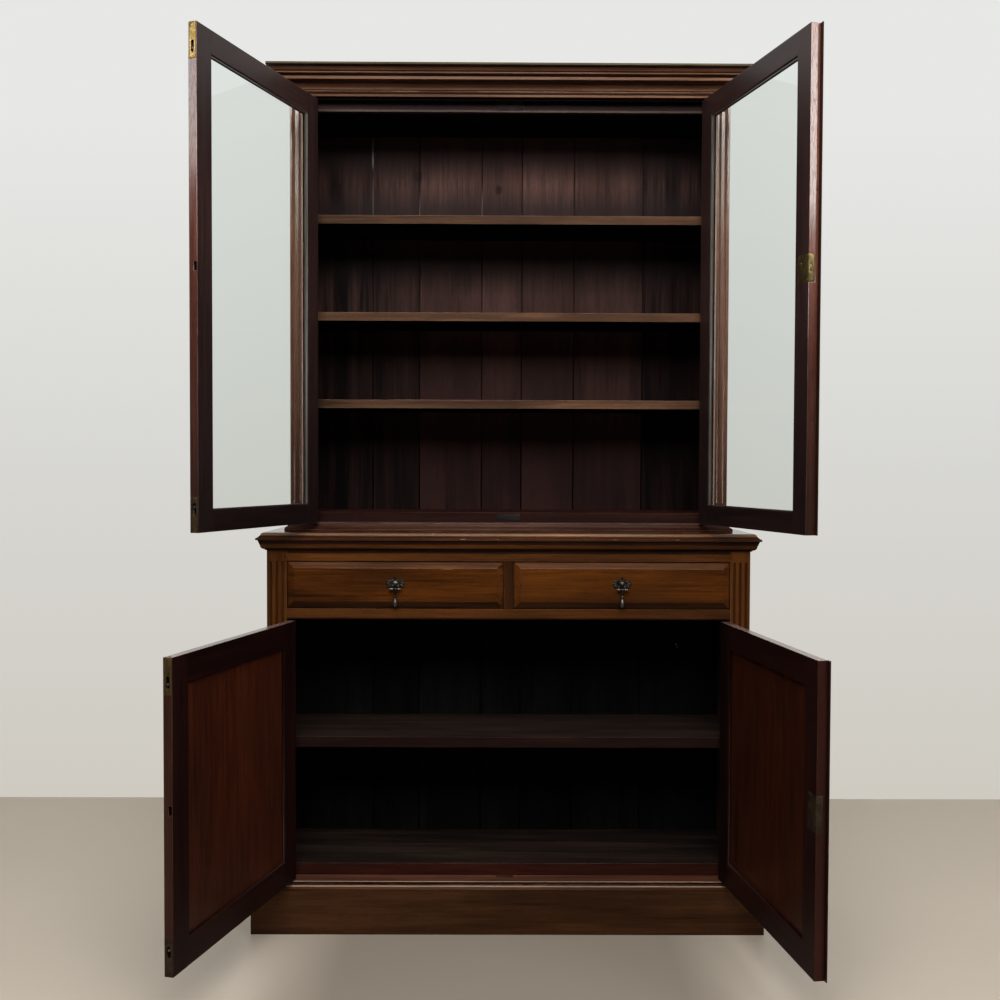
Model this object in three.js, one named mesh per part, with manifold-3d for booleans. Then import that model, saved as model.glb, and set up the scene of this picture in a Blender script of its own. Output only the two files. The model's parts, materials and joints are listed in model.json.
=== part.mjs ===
// Two-part bookcase: a glazed upper cabinet on a cupboard base with two drawers.
// Millimetres, +Z up, front towards -Y. The origin is on the floor at the middle of the plinth.
// The doors are modelled as they stand in the photograph: open, each at its own angle.
import * as THREE from 'three';
import { mergeVertices } from 'three/addons/utils/BufferGeometryUtils.js';
import Module from 'manifold-3d';

const wasm = await Module();
wasm.setup();

// Overall sizes
const plinthWidth = 1240;
const overallDepth = 320;
const plinthHeight = 110;
const plinthProjection = 34;
const baseWidth = plinthWidth - 2 * plinthProjection;
const upperWidth = 1076;
const upperSetback = 51;
const counterTopHeight = 970;
const counterThickness = 18;
const counterOverhang = 23;
const upperHeight = 1120;
const headHeight = 68.5;
const corniceHeight = 70;
const corniceProjection = 49;
const corniceRise = 8;

// Clearances
const joint = 0.3;
const doorGap = 2;
const drawerGap = 1;
const stopGap = 0.5;
const overrun = 2;

// Boards
const frontThickness = 20;
const baseSideThickness = 20;
const upperSideThickness = 18;
const backThickness = 10;
const backInset = 2;
const boardThickness = 20;
const stopDepth = 15;

// Pilasters and flutes
const basePilasterWidth = 48;
const upperPilasterWidth = 48;
const fluteRadius = 3.4;
const flutePitch = 14;
const fluteDepth = 2.6;
const fluteCount = 3;
const fluteSides = 8;
const fluteEndSteps = 2;
const baseFluteFootRise = 62;
const upperFluteFootRise = 72;
const upperFluteHeadDrop = 88;

// Base cupboard
const sillHeight = 16;
const lowerDoorHeadGap = 3;
const cupboardFloorRise = 45;
const drawerRailHeight = 25;
const drawerOpeningHeight = 116;
const friezeHeight = 51;
const dividerWidth = 23;
const dustboardThickness = 14;
const guideHeight = 18;
const cupboardShelfShare = 0.5157;
const cupboardShelfThickness = 26;
const shelfSetback = 3;
const bedMouldingHeight = 25;
const bedMouldingProjection = 19;

// Upper cabinet
const upperSillHeight = 21;
const upperMouldingProjection = 13;
const upperFloorRise = 26;
const upperDoorFootGap = 1.5;
const headGap = 2;
const headStopLap = 19.5;
const bookshelfTopShares = [0.2832, 0.5025, 0.7452];
const bookshelfThickness = 21;
const bookshelfSetback = 6;
const bearerWidth = 12;
const bearerHeight = 18;
const backJointShares = [-0.669, -0.439, -0.132, 0.065, 0.322, 0.662];
const grooveWidth = 3;
const grooveDepth = 3;

// Doors
const doorThickness = 20;
const pinProud = 4;
const upperStile = 53;
const upperTopRail = 51;
const upperBottomRail = 48;
const lowerStile = 60;
const lowerRail = 60;
const beadWidth = 9;
const beadDepth = 6;
const beadOutlineShares = [[1, 0.25], [0.6, 0.25], [0.25, 0.5], [0, 1]];
const backChamfer = 2.5;
const glassThickness = 3;
const paneGrooveDepth = 8;
const panelEdge = 6;
const panelField = 5;
const panelMargin = 34;
const astragalWidth = 19;
const astragalThickness = 5.5;
const astragalSteps = 6;
const upperLeftAngle = 110.3;
const upperRightAngle = 105.4;
const lowerLeftAngle = 105.7;
const lowerRightAngle = 98.4;

// Butt hinges
const hingeLength = 70;
const hingeKnuckle = 3.3;
const hingePin = 1.5;
const hingePinClearance = 0.35;
const hingeLeaf = 1.6;
const hingeLeafDepth = 16;
const upperHingeInset = 150;
const lowerHingeInset = 95;
const hingeSides = 12;

// Flush bolts
const boltPlateLength = 73;
const boltPlateWidth = 15;
const boltPlateThickness = 2;
const boltWindowLength = 24;
const boltWindowWidth = 8;
const boltWindowInset = 37;
const boltRadius = 3;
const boltKnobRadius = 2.6;
const boltBackset = 7;
const boltTravel = 12;
const boltSides = 10;
const keepWidth = 63;
const keepFace = 17;
const keepLeg = 15;
const keepThickness = 1.5;

// Cut locks
const upperLockHeight = 57;
const upperLockWidth = 40;
const upperLockShare = 0.5253;
const lowerLockHeight = 74;
const lowerLockWidth = 38;
const lowerLockShare = 0.5215;
const lockDepth = 11;
const lockFlange = 2;
const lockFlangeWidth = 14;
const lockBoltHeight = 14;
const lockBoltThickness = 5;
const lockBoltLength = 24;
const lockBoltTravel = 8;
const strikeDepth = 11;
const keyholeRadius = 2.6;
const keyholeSlot = 7;
const keyholeBackset = 26;

// Drawers
const drawerBevelMargin = 15;
const drawerBevelDrop = 5;
const drawerFieldStep = 1.2;
const drawerSideThickness = 10;
const drawerSideHeight = 88;
const drawerBottomThickness = 6;
const drawerDepthShare = 0.73125;
const drawerBottomRise = 3;
const drawerPullRise = 4;

// Pear-drop pulls
const drawerPullRadius = 22;
const doorPullRadius = 16;
const pullPlateHeightShare = 0.78;
const pullPetals = 8;
const pullPetalSteps = 4;
const pullPetalShare = 0.2;
const pullPlateThickness = 2.4;
const pullBossRadius = 7;
const pullBossHeight = 4;
const pullPivotBelow = 13;
const pullPivotOut = 9.4;
const pullBarRadius = 3.2;
const pullBarHalf = 5;
const pullEar = 2.6;
const pullEarTopShare = 0.55;
const pullPinRadius = 1.5;
const pullPinClearance = 0.3;
const pullNeckRadius = 2;
const pullNeckLength = 18;
const pullCollarRadius = 3.2;
const pullPearLength = 26;
const pullPearRadius = 7.2;
const pullPearShares = [[0, 0], [0.3, 0.03], [0.42, 0.12], [0.86, 0.2], [1, 0.34], [0.86, 0.52], [0.5, 0.76]];
const pullSides = 12;
const doorPullBelowLock = 20;

// Places worked out from the sizes above
const frontY = -overallDepth / 2;
const backY = overallDepth / 2;
const baseFrontY = frontY + plinthProjection;
const upperFrontY = baseFrontY + upperSetback;
const baseHalf = baseWidth / 2;
const upperHalf = upperWidth / 2;
const baseOpeningHalf = baseHalf - basePilasterWidth;
const upperOpeningHalf = upperHalf - upperPilasterWidth;
const baseInnerHalf = baseHalf - baseSideThickness;
const upperInnerHalf = upperHalf - upperSideThickness;
const backFaceY = backY - backInset - backThickness;
const counterBottom = counterTopHeight - counterThickness;
const baseBackOfFrameY = baseFrontY + frontThickness;
const upperBackOfFrameY = upperFrontY + frontThickness;
const drawerRailTop = counterBottom - friezeHeight - drawerOpeningHeight;
const drawerRailBottom = drawerRailTop - drawerRailHeight;
const friezeBottom = counterBottom - friezeHeight;
const drawerDepth = drawerDepthShare * overallDepth;
const lowerDoorBottom = plinthHeight + sillHeight + doorGap;
const lowerDoorTop = drawerRailBottom - lowerDoorHeadGap;
const cupboardFloor = plinthHeight + cupboardFloorRise;
const cupboardShelfTop = cupboardFloor + cupboardShelfShare * (drawerRailBottom - cupboardFloor);
const upperSideTop = counterTopHeight + upperHeight;
const upperSillTop = counterTopHeight + upperSillHeight;
const upperFloor = upperSillTop + upperFloorRise;
const upperDoorBottom = upperSillTop + upperDoorFootGap;
const upperDoorTop = upperSideTop - headHeight;
const headStopBottom = upperDoorTop - headStopLap;
const bookshelfTops = bookshelfTopShares.map((share) => upperFloor + share * (headStopBottom - upperFloor));
const backBoardJoints = backJointShares.map((share) => share * upperHalf);
const upperLock = {
  height: upperLockHeight,
  width: upperLockWidth,
  middle: upperDoorBottom + upperLockShare * (upperDoorTop - upperDoorBottom),
};
const lowerLock = {
  height: lowerLockHeight,
  width: lowerLockWidth,
  middle: lowerDoorBottom + lowerLockShare * (lowerDoorTop - lowerDoorBottom),
};
const drawerBottomZ = drawerRailTop + drawerGap + stopGap;
const drawerTopZ = friezeBottom - drawerGap - stopGap;

// Materials
const finish = (color, roughness, metalness = 0) => (
  new THREE.MeshStandardMaterial({ color, roughness, metalness })
);
const woods = {
  base: finish(0x5a3520, 0.45),
  dark: finish(0x2a1514, 0.5),
  cornice: finish(0x4a261a, 0.4),
  drawer: finish(0x6e4122, 0.4),
  door: finish(0x2c1617, 0.45),
  panel: finish(0x45201a, 0.45),
  shelf: finish(0x5b3d2c, 0.6),
  back: finish(0x351c18, 0.65),
  pale: finish(0x9a7a55, 0.7),
};
const metals = {
  brass: finish(0x8f7238, 0.4, 1),
  aged: finish(0x3a3128, 0.55, 1),
};
const clearGlass = new THREE.MeshStandardMaterial({
  color: 0xd8e0dc, roughness: 0.05, transparent: true, opacity: 0.35,
});

// Solids: three.js makes the shapes, and booleans join and cut them
function solid(geometry) {
  const plain = geometry.index ? geometry.toNonIndexed() : geometry.clone();
  plain.deleteAttribute('normal');
  plain.deleteAttribute('uv');
  const merged = mergeVertices(plain);
  return new wasm.Manifold(new wasm.Mesh({
    numProp: 3,
    vertProperties: Float32Array.from(merged.attributes.position.array),
    triVerts: Uint32Array.from(merged.index.array),
  }));
}

function geometryOf(body) {
  const { vertProperties, triVerts, numProp } = body.getMesh();
  const points = new Float32Array(triVerts.length * 3);
  triVerts.forEach((vertex, i) => {
    points.set(vertProperties.subarray(vertex * numProp, vertex * numProp + 3), i * 3);
  });
  const geometry = new THREE.BufferGeometry();
  geometry.setAttribute('position', new THREE.BufferAttribute(points, 3));
  geometry.computeVertexNormals();
  return geometry;
}

const join = (...bodies) => bodies.reduce((all, body) => all.add(body));
const cut = (body, ...tools) => tools.reduce((rest, tool) => rest.subtract(tool), body);

function block(x0, x1, y0, y1, z0, z1) {
  const box = new THREE.BoxGeometry(x1 - x0, y1 - y0, z1 - z0);
  return solid(box.translate((x0 + x1) / 2, (y0 + y1) / 2, (z0 + z1) / 2));
}

// A rod along x, y or z, with its two ends given on that axis
function rod(axis, radius, from, to, a, b, sides) {
  const turned = new THREE.CylinderGeometry(radius, radius, to - from, sides);
  const middle = (from + to) / 2;
  if (axis === 'x') turned.rotateZ(Math.PI / 2).translate(middle, a, b);
  if (axis === 'y') turned.translate(a, middle, b);
  if (axis === 'z') turned.rotateX(Math.PI / 2).translate(a, b, middle);
  return solid(turned);
}

// A prism of an outline in x and y, standing from z0 to z1
function standing(outline, z0, z1) {
  const shape = new THREE.Shape(outline.map(([x, y]) => new THREE.Vector2(x, y)));
  const prism = new THREE.ExtrudeGeometry(shape, { depth: z1 - z0, bevelEnabled: false });
  return solid(prism.translate(0, 0, z0));
}

// Rings of points joined into a skin; each ring has as many points as the next
function skin(rings, closed) {
  const points = rings.flat();
  const size = rings[0].length;
  const faces = [];
  const last = closed ? rings.length : rings.length - 1;
  for (let r = 0; r < last; r += 1) {
    const near = r * size;
    const far = ((r + 1) % rings.length) * size;
    for (let i = 0; i < size; i += 1) {
      const j = (i + 1) % size;
      faces.push(near + i, near + j, far + j, near + i, far + j, far + i);
    }
  }
  return { points, faces, size };
}

// Closes the two ends of an open skin whose rings are convex
function closeEnds(body, rings) {
  const end = (rings.length - 1) * body.size;
  for (let i = 1; i < body.size - 1; i += 1) {
    body.faces.push(0, i + 1, i, end, end + i, end + i + 1);
  }
  return skinSolid(body);
}

function skinSolid({ points, faces }) {
  const geometry = new THREE.BufferGeometry();
  geometry.setAttribute('position', new THREE.Float32BufferAttribute(points.flat(), 3));
  geometry.setIndex(faces);
  return outward(solid(geometry), geometry);
}

// Turns a skin right side out
function outward(body, geometry) {
  if (body.volume() > 0) return body;
  const turned = geometry.clone();
  const order = [...geometry.index.array];
  for (let i = 0; i < order.length; i += 3) [order[i], order[i + 1]] = [order[i + 1], order[i]];
  turned.setIndex(order);
  return solid(turned);
}

// Moulding members, each a run outwards and a rise, as shares of the whole moulding
function mouldingOutline(members, projection, height, steps = 4) {
  const outline = [];
  let out = 0;
  let up = 0;
  for (const { kind, run, rise } of members) {
    for (let i = 1; i <= steps; i += 1) {
      const turn = (i / steps) * (Math.PI / 2);
      const share = i / steps;
      const curve = {
        cove: [1 - Math.cos(turn), Math.sin(turn)],
        ovolo: [Math.sin(turn), 1 - Math.cos(turn)],
        ogee: [(1 - Math.cos(share * Math.PI)) / 2, share],
        slope: [share, share],
        round: [4 * share * (1 - share), share],
      }[kind];
      if (kind === 'slope' && i < steps) continue;
      outline.push([(out + run * curve[0]) * projection, (up + rise * curve[1]) * height]);
    }
    out += kind === 'round' ? 0 : run;
    up += rise;
  }
  return outline;
}

// A moulding mitred round the front and both sides, ending square at the back
function threeSided(outline, half, front, back) {
  const rings = [
    outline.map(([out, z]) => [-half - out, back, z]),
    outline.map(([out, z]) => [-half - out, front - out, z]),
    outline.map(([out, z]) => [half + out, front - out, z]),
    outline.map(([out, z]) => [half + out, back, z]),
  ];
  const body = skin(rings, false);
  const far = (rings.length - 1) * body.size;
  const flat = outline.map(([a, b]) => new THREE.Vector2(a, b));
  const turned = THREE.ShapeUtils.area(flat) < 0;
  for (const [a, b, c] of THREE.ShapeUtils.triangulateShape(flat, [])) {
    const [p, q, r] = turned ? [a, c, b] : [a, b, c];
    body.faces.push(p, r, q, far + p, far + q, far + r);
  }
  return skinSolid(body);
}

// A frame mitred round an opening. Each outline point is a distance from the sight edge and a
// depth; a point marked outer lies on the outside edge of the frame.
function mitredFrame(outline, opening, outer) {
  const corner = (right, top) => outline.map(({ away, depth, edge }) => {
    const box = edge ? outer : opening;
    const grow = edge ? 0 : away;
    const x = right ? box.x1 + grow : box.x0 - grow;
    const z = top ? box.z1 + grow : box.z0 - grow;
    return [x, depth, z];
  });
  return skinSolid(skin([corner(0, 0), corner(1, 0), corner(1, 1), corner(0, 1)], true));
}

const group = new THREE.Group();

function add(name, body, material, parent = group) {
  const mesh = new THREE.Mesh(geometryOf(body), material);
  mesh.name = name;
  parent.add(mesh);
  return mesh;
}

const mirrored = (body) => body.mirror([1, 0, 0]);

// Mouldings, member by member from the bottom
const corniceShares = [
  { kind: 'slope', run: 0.1, rise: 0 },
  { kind: 'ovolo', run: 0.067, rise: 0.109 },
  { kind: 'slope', run: 0.05, rise: 0 },
  { kind: 'slope', run: 0, rise: 0.045 },
  { kind: 'slope', run: -0.053, rise: 0.016 },
  { kind: 'round', run: 0.05, rise: 0.045 },
  { kind: 'cove', run: 0.32, rise: 0.214 },
  { kind: 'slope', run: 0.05, rise: 0 },
  { kind: 'ovolo', run: 0.083, rise: 0.193 },
  { kind: 'slope', run: 0.067, rise: 0 },
  { kind: 'slope', run: 0, rise: 0.068 },
  { kind: 'slope', run: 0.05, rise: 0.01 },
  { kind: 'cove', run: 0.266, rise: 0.2 },
  { kind: 'slope', run: 0, rise: 0.1 },
];
const counterShares = [
  { kind: 'slope', run: 1, rise: 0 },
  { kind: 'slope', run: 0, rise: 0.27 },
  { kind: 'slope', run: -0.17, rise: 0.08 },
  { kind: 'slope', run: -0.26, rise: 0.3 },
  { kind: 'cove', run: -0.39, rise: 0.35 },
];
const bedShares = [
  { kind: 'slope', run: 0.2, rise: 0 },
  { kind: 'slope', run: 0, rise: 0.1 },
  { kind: 'ovolo', run: 0.5, rise: 0.32 },
  { kind: 'slope', run: 0.1, rise: 0.2 },
  { kind: 'slope', run: 0.2, rise: 0.38 },
];
const upperSillShares = [
  { kind: 'slope', run: 1, rise: 0 },
  { kind: 'slope', run: 0, rise: 0.24 },
  { kind: 'cove', run: -0.5, rise: 0.34 },
  { kind: 'slope', run: 0, rise: 0.16 },
  { kind: 'slope', run: -0.28, rise: 0.26 },
];
const plinthShares = [
  { kind: 'slope', run: 1, rise: 0 },
  { kind: 'cove', run: -0.36, rise: 0.5 },
  { kind: 'slope', run: 0, rise: 0.08 },
  { kind: 'round', run: 0.12, rise: 0.42 },
];

// The outline of a run of moulding, closed back on its own inner face
function mouldingSection(members, projection, height, bottom, inner) {
  const outline = mouldingOutline(members, projection, height).map(([out, up]) => [out, bottom + up]);
  return [[inner, bottom], ...outline, [inner, bottom + height]];
}

// Plinth: four boards and a centre bearer, with the moulding and the sill on top
function plinth() {
  const half = plinthWidth / 2;
  const shell = cut(
    block(-half, half, frontY, backY - backInset, 0, plinthHeight),
    block(-half + boardThickness, half - boardThickness, frontY + boardThickness,
      backY - backInset - boardThickness, -overrun, plinthHeight + overrun),
  );
  const bearer = block(-boardThickness, boardThickness, frontY + boardThickness / 2,
    backY - backInset - boardThickness / 2, 0, plinthHeight);
  const section = mouldingSection(plinthShares, plinthProjection - joint, sillHeight, plinthHeight, joint);
  const moulding = threeSided(section, baseHalf, baseFrontY, backY - backInset);
  const sill = block(-baseOpeningHalf + joint, baseOpeningHalf - joint, baseFrontY - joint - overrun,
    baseBackOfFrameY + stopGap, plinthHeight - overrun, plinthHeight + sillHeight);
  const boltHole = rod('z', boltRadius + stopGap, plinthHeight, plinthHeight + sillHeight + overrun,
    lowerBolt.x, lowerBolt.y, boltSides);
  return cut(join(shell, bearer, moulding, sill), boltHole);
}

// Where a left door's bolts stand when the door is closed
function boltPlace(openingHalf, front) {
  const doorWidth = doorWidthOf(openingHalf);
  return {
    x: -openingHalf + doorGap / 2 + doorWidth - boltPlateThickness - boltBackset,
    y: front + doorThickness / 2,
  };
}

// From the pin to a door's meeting edge
function doorWidthOf(openingHalf) {
  return openingHalf - doorGap / 2 - doorGap / 2;
}

const lowerBolt = boltPlace(baseOpeningHalf, baseFrontY);
const upperBolt = boltPlace(upperOpeningHalf, upperFrontY);

// Stopped flutes cut down the face of a pilaster
function flutes(middle, face, bottom, top) {
  const tools = [];
  for (let i = 0; i < fluteCount; i += 1) {
    const x = middle + (i - (fluteCount - 1) / 2) * flutePitch;
    const straight = top - bottom - 2 * fluteRadius;
    const capsule = new THREE.CapsuleGeometry(fluteRadius, straight, fluteEndSteps, fluteSides);
    capsule.rotateX(Math.PI / 2).translate(x, face + fluteDepth - fluteRadius, (top + bottom) / 2);
    tools.push(solid(capsule));
  }
  return tools;
}

// The knuckles of a butt hinge that stay with the cabinet, each with its tongue into the side
function fixedKnuckles(pinX, pinY, middle) {
  const third = hingeLength / 3;
  const bore = rod('z', hingePin + hingePinClearance, middle - hingeLength, middle + hingeLength,
    pinX, pinY, hingeSides);
  const parts = [-1, 1].map((side) => {
    const near = side * (third / 2 + joint);
    const far = (side * hingeLength) / 2;
    const z0 = middle + Math.min(near, far);
    const z1 = middle + Math.max(near, far);
    const barrel = rod('z', hingeKnuckle, z0, z1, pinX, pinY, hingeSides);
    const tongue = block(pinX - hingeKnuckle, pinX - doorGap / 2, pinY, pinY + pinProud + overrun, z0, z1);
    return join(barrel, tongue);
  });
  return cut(join(...parts), bore);
}

function hingeHeights(bottom, top, inset) {
  return [bottom + inset, top - inset];
}

// A left-hand side board with its fluted pilaster, hinge knuckles and shelf bearers
function sideBoard(spec) {
  const { half, thickness, pilaster, front, bottom, top, bearers, flute, hinges } = spec;
  const board = block(-half, -half + thickness, front, backY, bottom, top);
  const post = block(-half, -half + pilaster, front, front + frontThickness, bottom, top);
  const ledges = bearers.map((z) => block(-half + thickness - overrun, -half + thickness + bearerWidth,
    front + frontThickness + bearerWidth, backFaceY - bearerWidth, z - bearerHeight, z));
  const pinX = -half + pilaster + doorGap / 2;
  const knuckles = hinges.map((z) => fixedKnuckles(pinX, front - pinProud, z));
  const body = join(board, post, ...ledges, ...knuckles);
  return cut(body, ...flutes(-half + pilaster / 2, front, flute[0], flute[1]));
}

const baseSide = sideBoard({
  half: baseHalf,
  thickness: baseSideThickness,
  pilaster: basePilasterWidth,
  front: baseFrontY,
  bottom: plinthHeight + joint,
  top: counterBottom - joint,
  bearers: [cupboardShelfTop - cupboardShelfThickness - joint],
  flute: [plinthHeight + baseFluteFootRise, friezeBottom],
  hinges: hingeHeights(lowerDoorBottom, lowerDoorTop, lowerHingeInset),
});
const upperSide = sideBoard({
  half: upperHalf,
  thickness: upperSideThickness,
  pilaster: upperPilasterWidth,
  front: upperFrontY,
  bottom: counterTopHeight + joint,
  top: upperSideTop,
  bearers: bookshelfTops.map((top) => top - bookshelfThickness - joint),
  flute: [counterTopHeight + upperFluteFootRise, upperSideTop - upperFluteHeadDrop],
  hinges: hingeHeights(upperDoorBottom, upperDoorTop, upperHingeInset),
});

// The base floor, with the stop strip that the doors close against
function baseBottom() {
  const half = baseInnerHalf - joint;
  const front = baseBackOfFrameY + stopGap + joint;
  return join(
    block(-half, half, front, backFaceY - joint, cupboardFloor - boardThickness, cupboardFloor),
    block(-half, half, front, front + stopDepth, plinthHeight + sillHeight + joint, cupboardFloor),
  );
}

function boardedBack(half, bottom, top) {
  const board = block(-half, half, backFaceY, backFaceY + backThickness, bottom, top);
  const grooves = backBoardJoints.map((x) => block(x - grooveWidth / 2, x + grooveWidth / 2,
    backFaceY - overrun, backFaceY + grooveDepth, bottom - overrun, top + overrun));
  return cut(board, ...grooves);
}

// Frieze rail, divider and drawer rail, glued up as one frame between the pilasters
function baseFaceFrame() {
  const half = baseOpeningHalf - joint;
  const y0 = baseFrontY;
  const y1 = baseBackOfFrameY;
  const frame = join(
    block(-half, half, y0, y1, friezeBottom, counterBottom - joint),
    block(-half, half, y0, y1, drawerRailBottom, drawerRailTop),
    block(-dividerWidth / 2, dividerWidth / 2, y0, y1, drawerRailTop - overrun, friezeBottom + overrun),
  );
  return cut(frame, rod('z', boltRadius + stopGap, drawerRailBottom - overrun,
    drawerRailBottom + boltTravel + overrun, lowerBolt.x, lowerBolt.y, boltSides));
}

// The board that the drawers run on, with its guides
function drawerDustboard() {
  const half = baseInnerHalf - joint;
  const y0 = baseBackOfFrameY + joint;
  const y1 = backFaceY - joint;
  const z = drawerRailTop;
  const guide = (x0, x1) => block(x0, x1, y0, y1, z - overrun, z + guideHeight);
  const wide = baseOpeningHalf;
  return join(
    block(-half, half, y0, y1, z - dustboardThickness, z),
    guide(-half, -wide),
    guide(-dividerWidth / 2, dividerWidth / 2),
    guide(wide, half),
  );
}

function counterTop() {
  const bedBottom = counterBottom - bedMouldingHeight;
  const edge = mouldingSection(counterShares, counterOverhang, counterThickness, counterBottom,
    -boardThickness);
  const bed = mouldingSection(bedShares, bedMouldingProjection, bedMouldingHeight + joint, bedBottom, joint);
  return join(
    threeSided(edge, baseHalf, baseFrontY, backY),
    threeSided(bed, baseHalf, baseFrontY, backY),
    block(-baseHalf, baseHalf, baseFrontY, backY, counterBottom, counterTopHeight),
  );
}

// The upper cabinet's floor with its stop strip, sill and base moulding
function upperBottom() {
  const half = upperInnerHalf - joint;
  const front = upperBackOfFrameY + stopGap;
  const bottom = counterTopHeight + joint;
  const sillTop = upperSillTop;
  const section = mouldingSection(upperSillShares, upperMouldingProjection, sillTop - bottom, bottom, joint);
  const body = join(
    block(-half, half, front, backFaceY - joint, upperFloor - boardThickness, upperFloor),
    block(-half, half, front, front + stopDepth, bottom, upperFloor),
    block(-upperOpeningHalf + joint, upperOpeningHalf - joint, upperFrontY - joint - overrun,
      front + overrun, bottom, sillTop),
    threeSided(section, upperHalf, upperFrontY, backY),
  );
  return cut(body, rod('z', boltRadius + stopGap, sillTop - boltTravel - overrun, sillTop + overrun,
    upperBolt.x, upperBolt.y, boltSides));
}

function upperTop() {
  const half = upperInnerHalf - joint;
  return block(-half, half, upperBackOfFrameY + stopGap + stopDepth + joint, backFaceY + backThickness,
    headStopBottom, headStopBottom + boardThickness);
}

// The head rail and the stop behind it, cut for the keep plate and the bolt
function upperHeadRail() {
  const railBottom = upperDoorTop + headGap;
  const stopFront = upperBackOfFrameY + stopGap;
  const half = upperInnerHalf - joint;
  const body = join(
    block(-upperOpeningHalf + joint, upperOpeningHalf - joint, upperFrontY, stopFront + overrun,
      railBottom, upperSideTop),
    block(-half, half, stopFront, stopFront + stopDepth, headStopBottom, upperSideTop),
  );
  const seat = keepThickness + joint;
  const side = keepWidth / 2 + joint;
  const faceRecess = block(-side, side, stopFront - overrun, stopFront + seat,
    railBottom - keepFace - joint, railBottom + seat);
  const legRecess = block(-side, side, stopFront - keepLeg - joint, stopFront + seat,
    railBottom - overrun, railBottom + seat);
  const hole = rod('z', boltRadius + stopGap, railBottom - overrun, railBottom + boltTravel + overrun,
    upperBolt.x, upperBolt.y, boltSides);
  return cut(body, faceRecess, legRecess, hole);
}

// The angle plate that the upper bolt shoots into
function boltKeep() {
  const railBottom = upperDoorTop + headGap;
  const stopFront = upperBackOfFrameY + stopGap;
  const side = keepWidth / 2;
  const back = stopFront + keepThickness;
  const top = railBottom + keepThickness;
  const body = join(
    block(-side, side, stopFront, back, railBottom - keepFace, top),
    block(-side, side, stopFront - keepLeg, back, railBottom, top),
  );
  return cut(body, rod('z', boltRadius + stopGap, railBottom - overrun, railBottom + keepThickness + overrun,
    upperBolt.x, upperBolt.y, boltSides));
}

function cornice() {
  const bottom = upperSideTop + corniceRise - corniceHeight;
  const section = mouldingSection(corniceShares, corniceProjection, corniceHeight, bottom, joint);
  return threeSided(section, upperHalf, upperFrontY, backY);
}

add('plinth', plinth(), woods.base);
add('base_side_left', baseSide, woods.base);
add('base_side_right', mirrored(baseSide), woods.base);
add('base_bottom', baseBottom(), woods.dark);
add('base_back', boardedBack(baseInnerHalf - joint, plinthHeight + joint, counterBottom - joint), woods.dark);
add('base_face_frame', baseFaceFrame(), woods.base);
add('drawer_dustboard', drawerDustboard(), woods.pale);
add('cupboard_shelf', block(-baseInnerHalf + joint, baseInnerHalf - joint, baseBackOfFrameY + shelfSetback,
  backFaceY - joint, cupboardShelfTop - cupboardShelfThickness, cupboardShelfTop), woods.dark);
add('counter_top', counterTop(), woods.base);
add('upper_side_left', upperSide, woods.cornice);
add('upper_side_right', mirrored(upperSide), woods.cornice);
add('upper_bottom', upperBottom(), woods.cornice);
add('upper_top', upperTop(), woods.back);
add('upper_back', boardedBack(upperInnerHalf - joint, counterTopHeight + joint, headStopBottom - joint),
  woods.back);
add('upper_head_rail', upperHeadRail(), woods.cornice);
add('bolt_keep', boltKeep(), metals.aged);
add('cornice', cornice(), woods.cornice);
bookshelfTops.forEach((top, i) => {
  add(`bookshelf_${i + 1}`, block(-upperInnerHalf + joint, upperInnerHalf - joint,
    upperBackOfFrameY + bookshelfSetback, backFaceY - joint, top - bookshelfThickness, top), woods.shelf);
});

// The plate of a pear-drop pull: a petalled rose with two ears; its back is at y = 0
function pullPlate(radius) {
  const outline = [];
  const points = pullPetals * pullPetalSteps;
  for (let i = 0; i < points; i += 1) {
    const turn = (i / points) * 2 * Math.PI;
    const reach = radius * (1 - pullPetalShare * (1 - Math.cos(turn * pullPetals)) / 2);
    outline.push([reach * Math.sin(turn), reach * Math.cos(turn) * pullPlateHeightShare]);
  }
  const shape = new THREE.Shape(outline.map(([x, y]) => new THREE.Vector2(x, y)));
  const rose = new THREE.ExtrudeGeometry(shape, { depth: pullPlateThickness, bevelEnabled: false });
  rose.rotateX(Math.PI / 2);
  const out = -pullPlateThickness - pullBossHeight;
  const boss = new THREE.CylinderGeometry(pullBossRadius, pullBossRadius / 2, pullBossHeight, pullSides);
  boss.translate(0, out + pullBossHeight / 2, 0);
  const earTop = -radius * pullPlateHeightShare * pullEarTopShare;
  const ear = (x0, x1) => cut(
    join(
      block(x0, x1, -pullPivotOut, 0, -pullPivotBelow - pullBarRadius, earTop),
      rod('x', pullBarRadius, x0, x1, -pullPivotOut, -pullPivotBelow, pullSides),
    ),
    rod('x', pullPinRadius + pullPinClearance, x0 - overrun, x1 + overrun, -pullPivotOut, -pullPivotBelow,
      pullSides),
  );
  const inner = pullBarHalf + joint;
  return join(solid(rose), solid(boss), ear(-inner - pullEar, -inner), ear(inner, inner + pullEar));
}

// The drop: a crossbar with its pins, a neck and a pear, about its pivot
function pullDrop() {
  const pinHalf = pullBarHalf + joint + pullEar;
  const neckEnd = -pullNeckLength;
  const tip = neckEnd - pullPearLength;
  const profile = [
    ...pullPearShares.map(([wide, high]) => [wide * pullPearRadius, tip + high * pullPearLength]),
    [pullNeckRadius, neckEnd],
    [pullCollarRadius, neckEnd + pullNeckRadius],
    [pullNeckRadius, neckEnd + 2 * pullNeckRadius],
    [pullNeckRadius, 0],
    [0, 0],
  ].map(([r, z]) => new THREE.Vector2(r, z));
  const pear = new THREE.LatheGeometry(profile, pullSides).rotateX(Math.PI / 2);
  return join(
    solid(pear),
    rod('x', pullBarRadius, -pullBarHalf, pullBarHalf, 0, 0, pullSides),
    rod('x', pullPinRadius, -pinHalf, pinHalf, 0, 0, pullSides),
  );
}

const dropBody = pullDrop();

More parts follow.
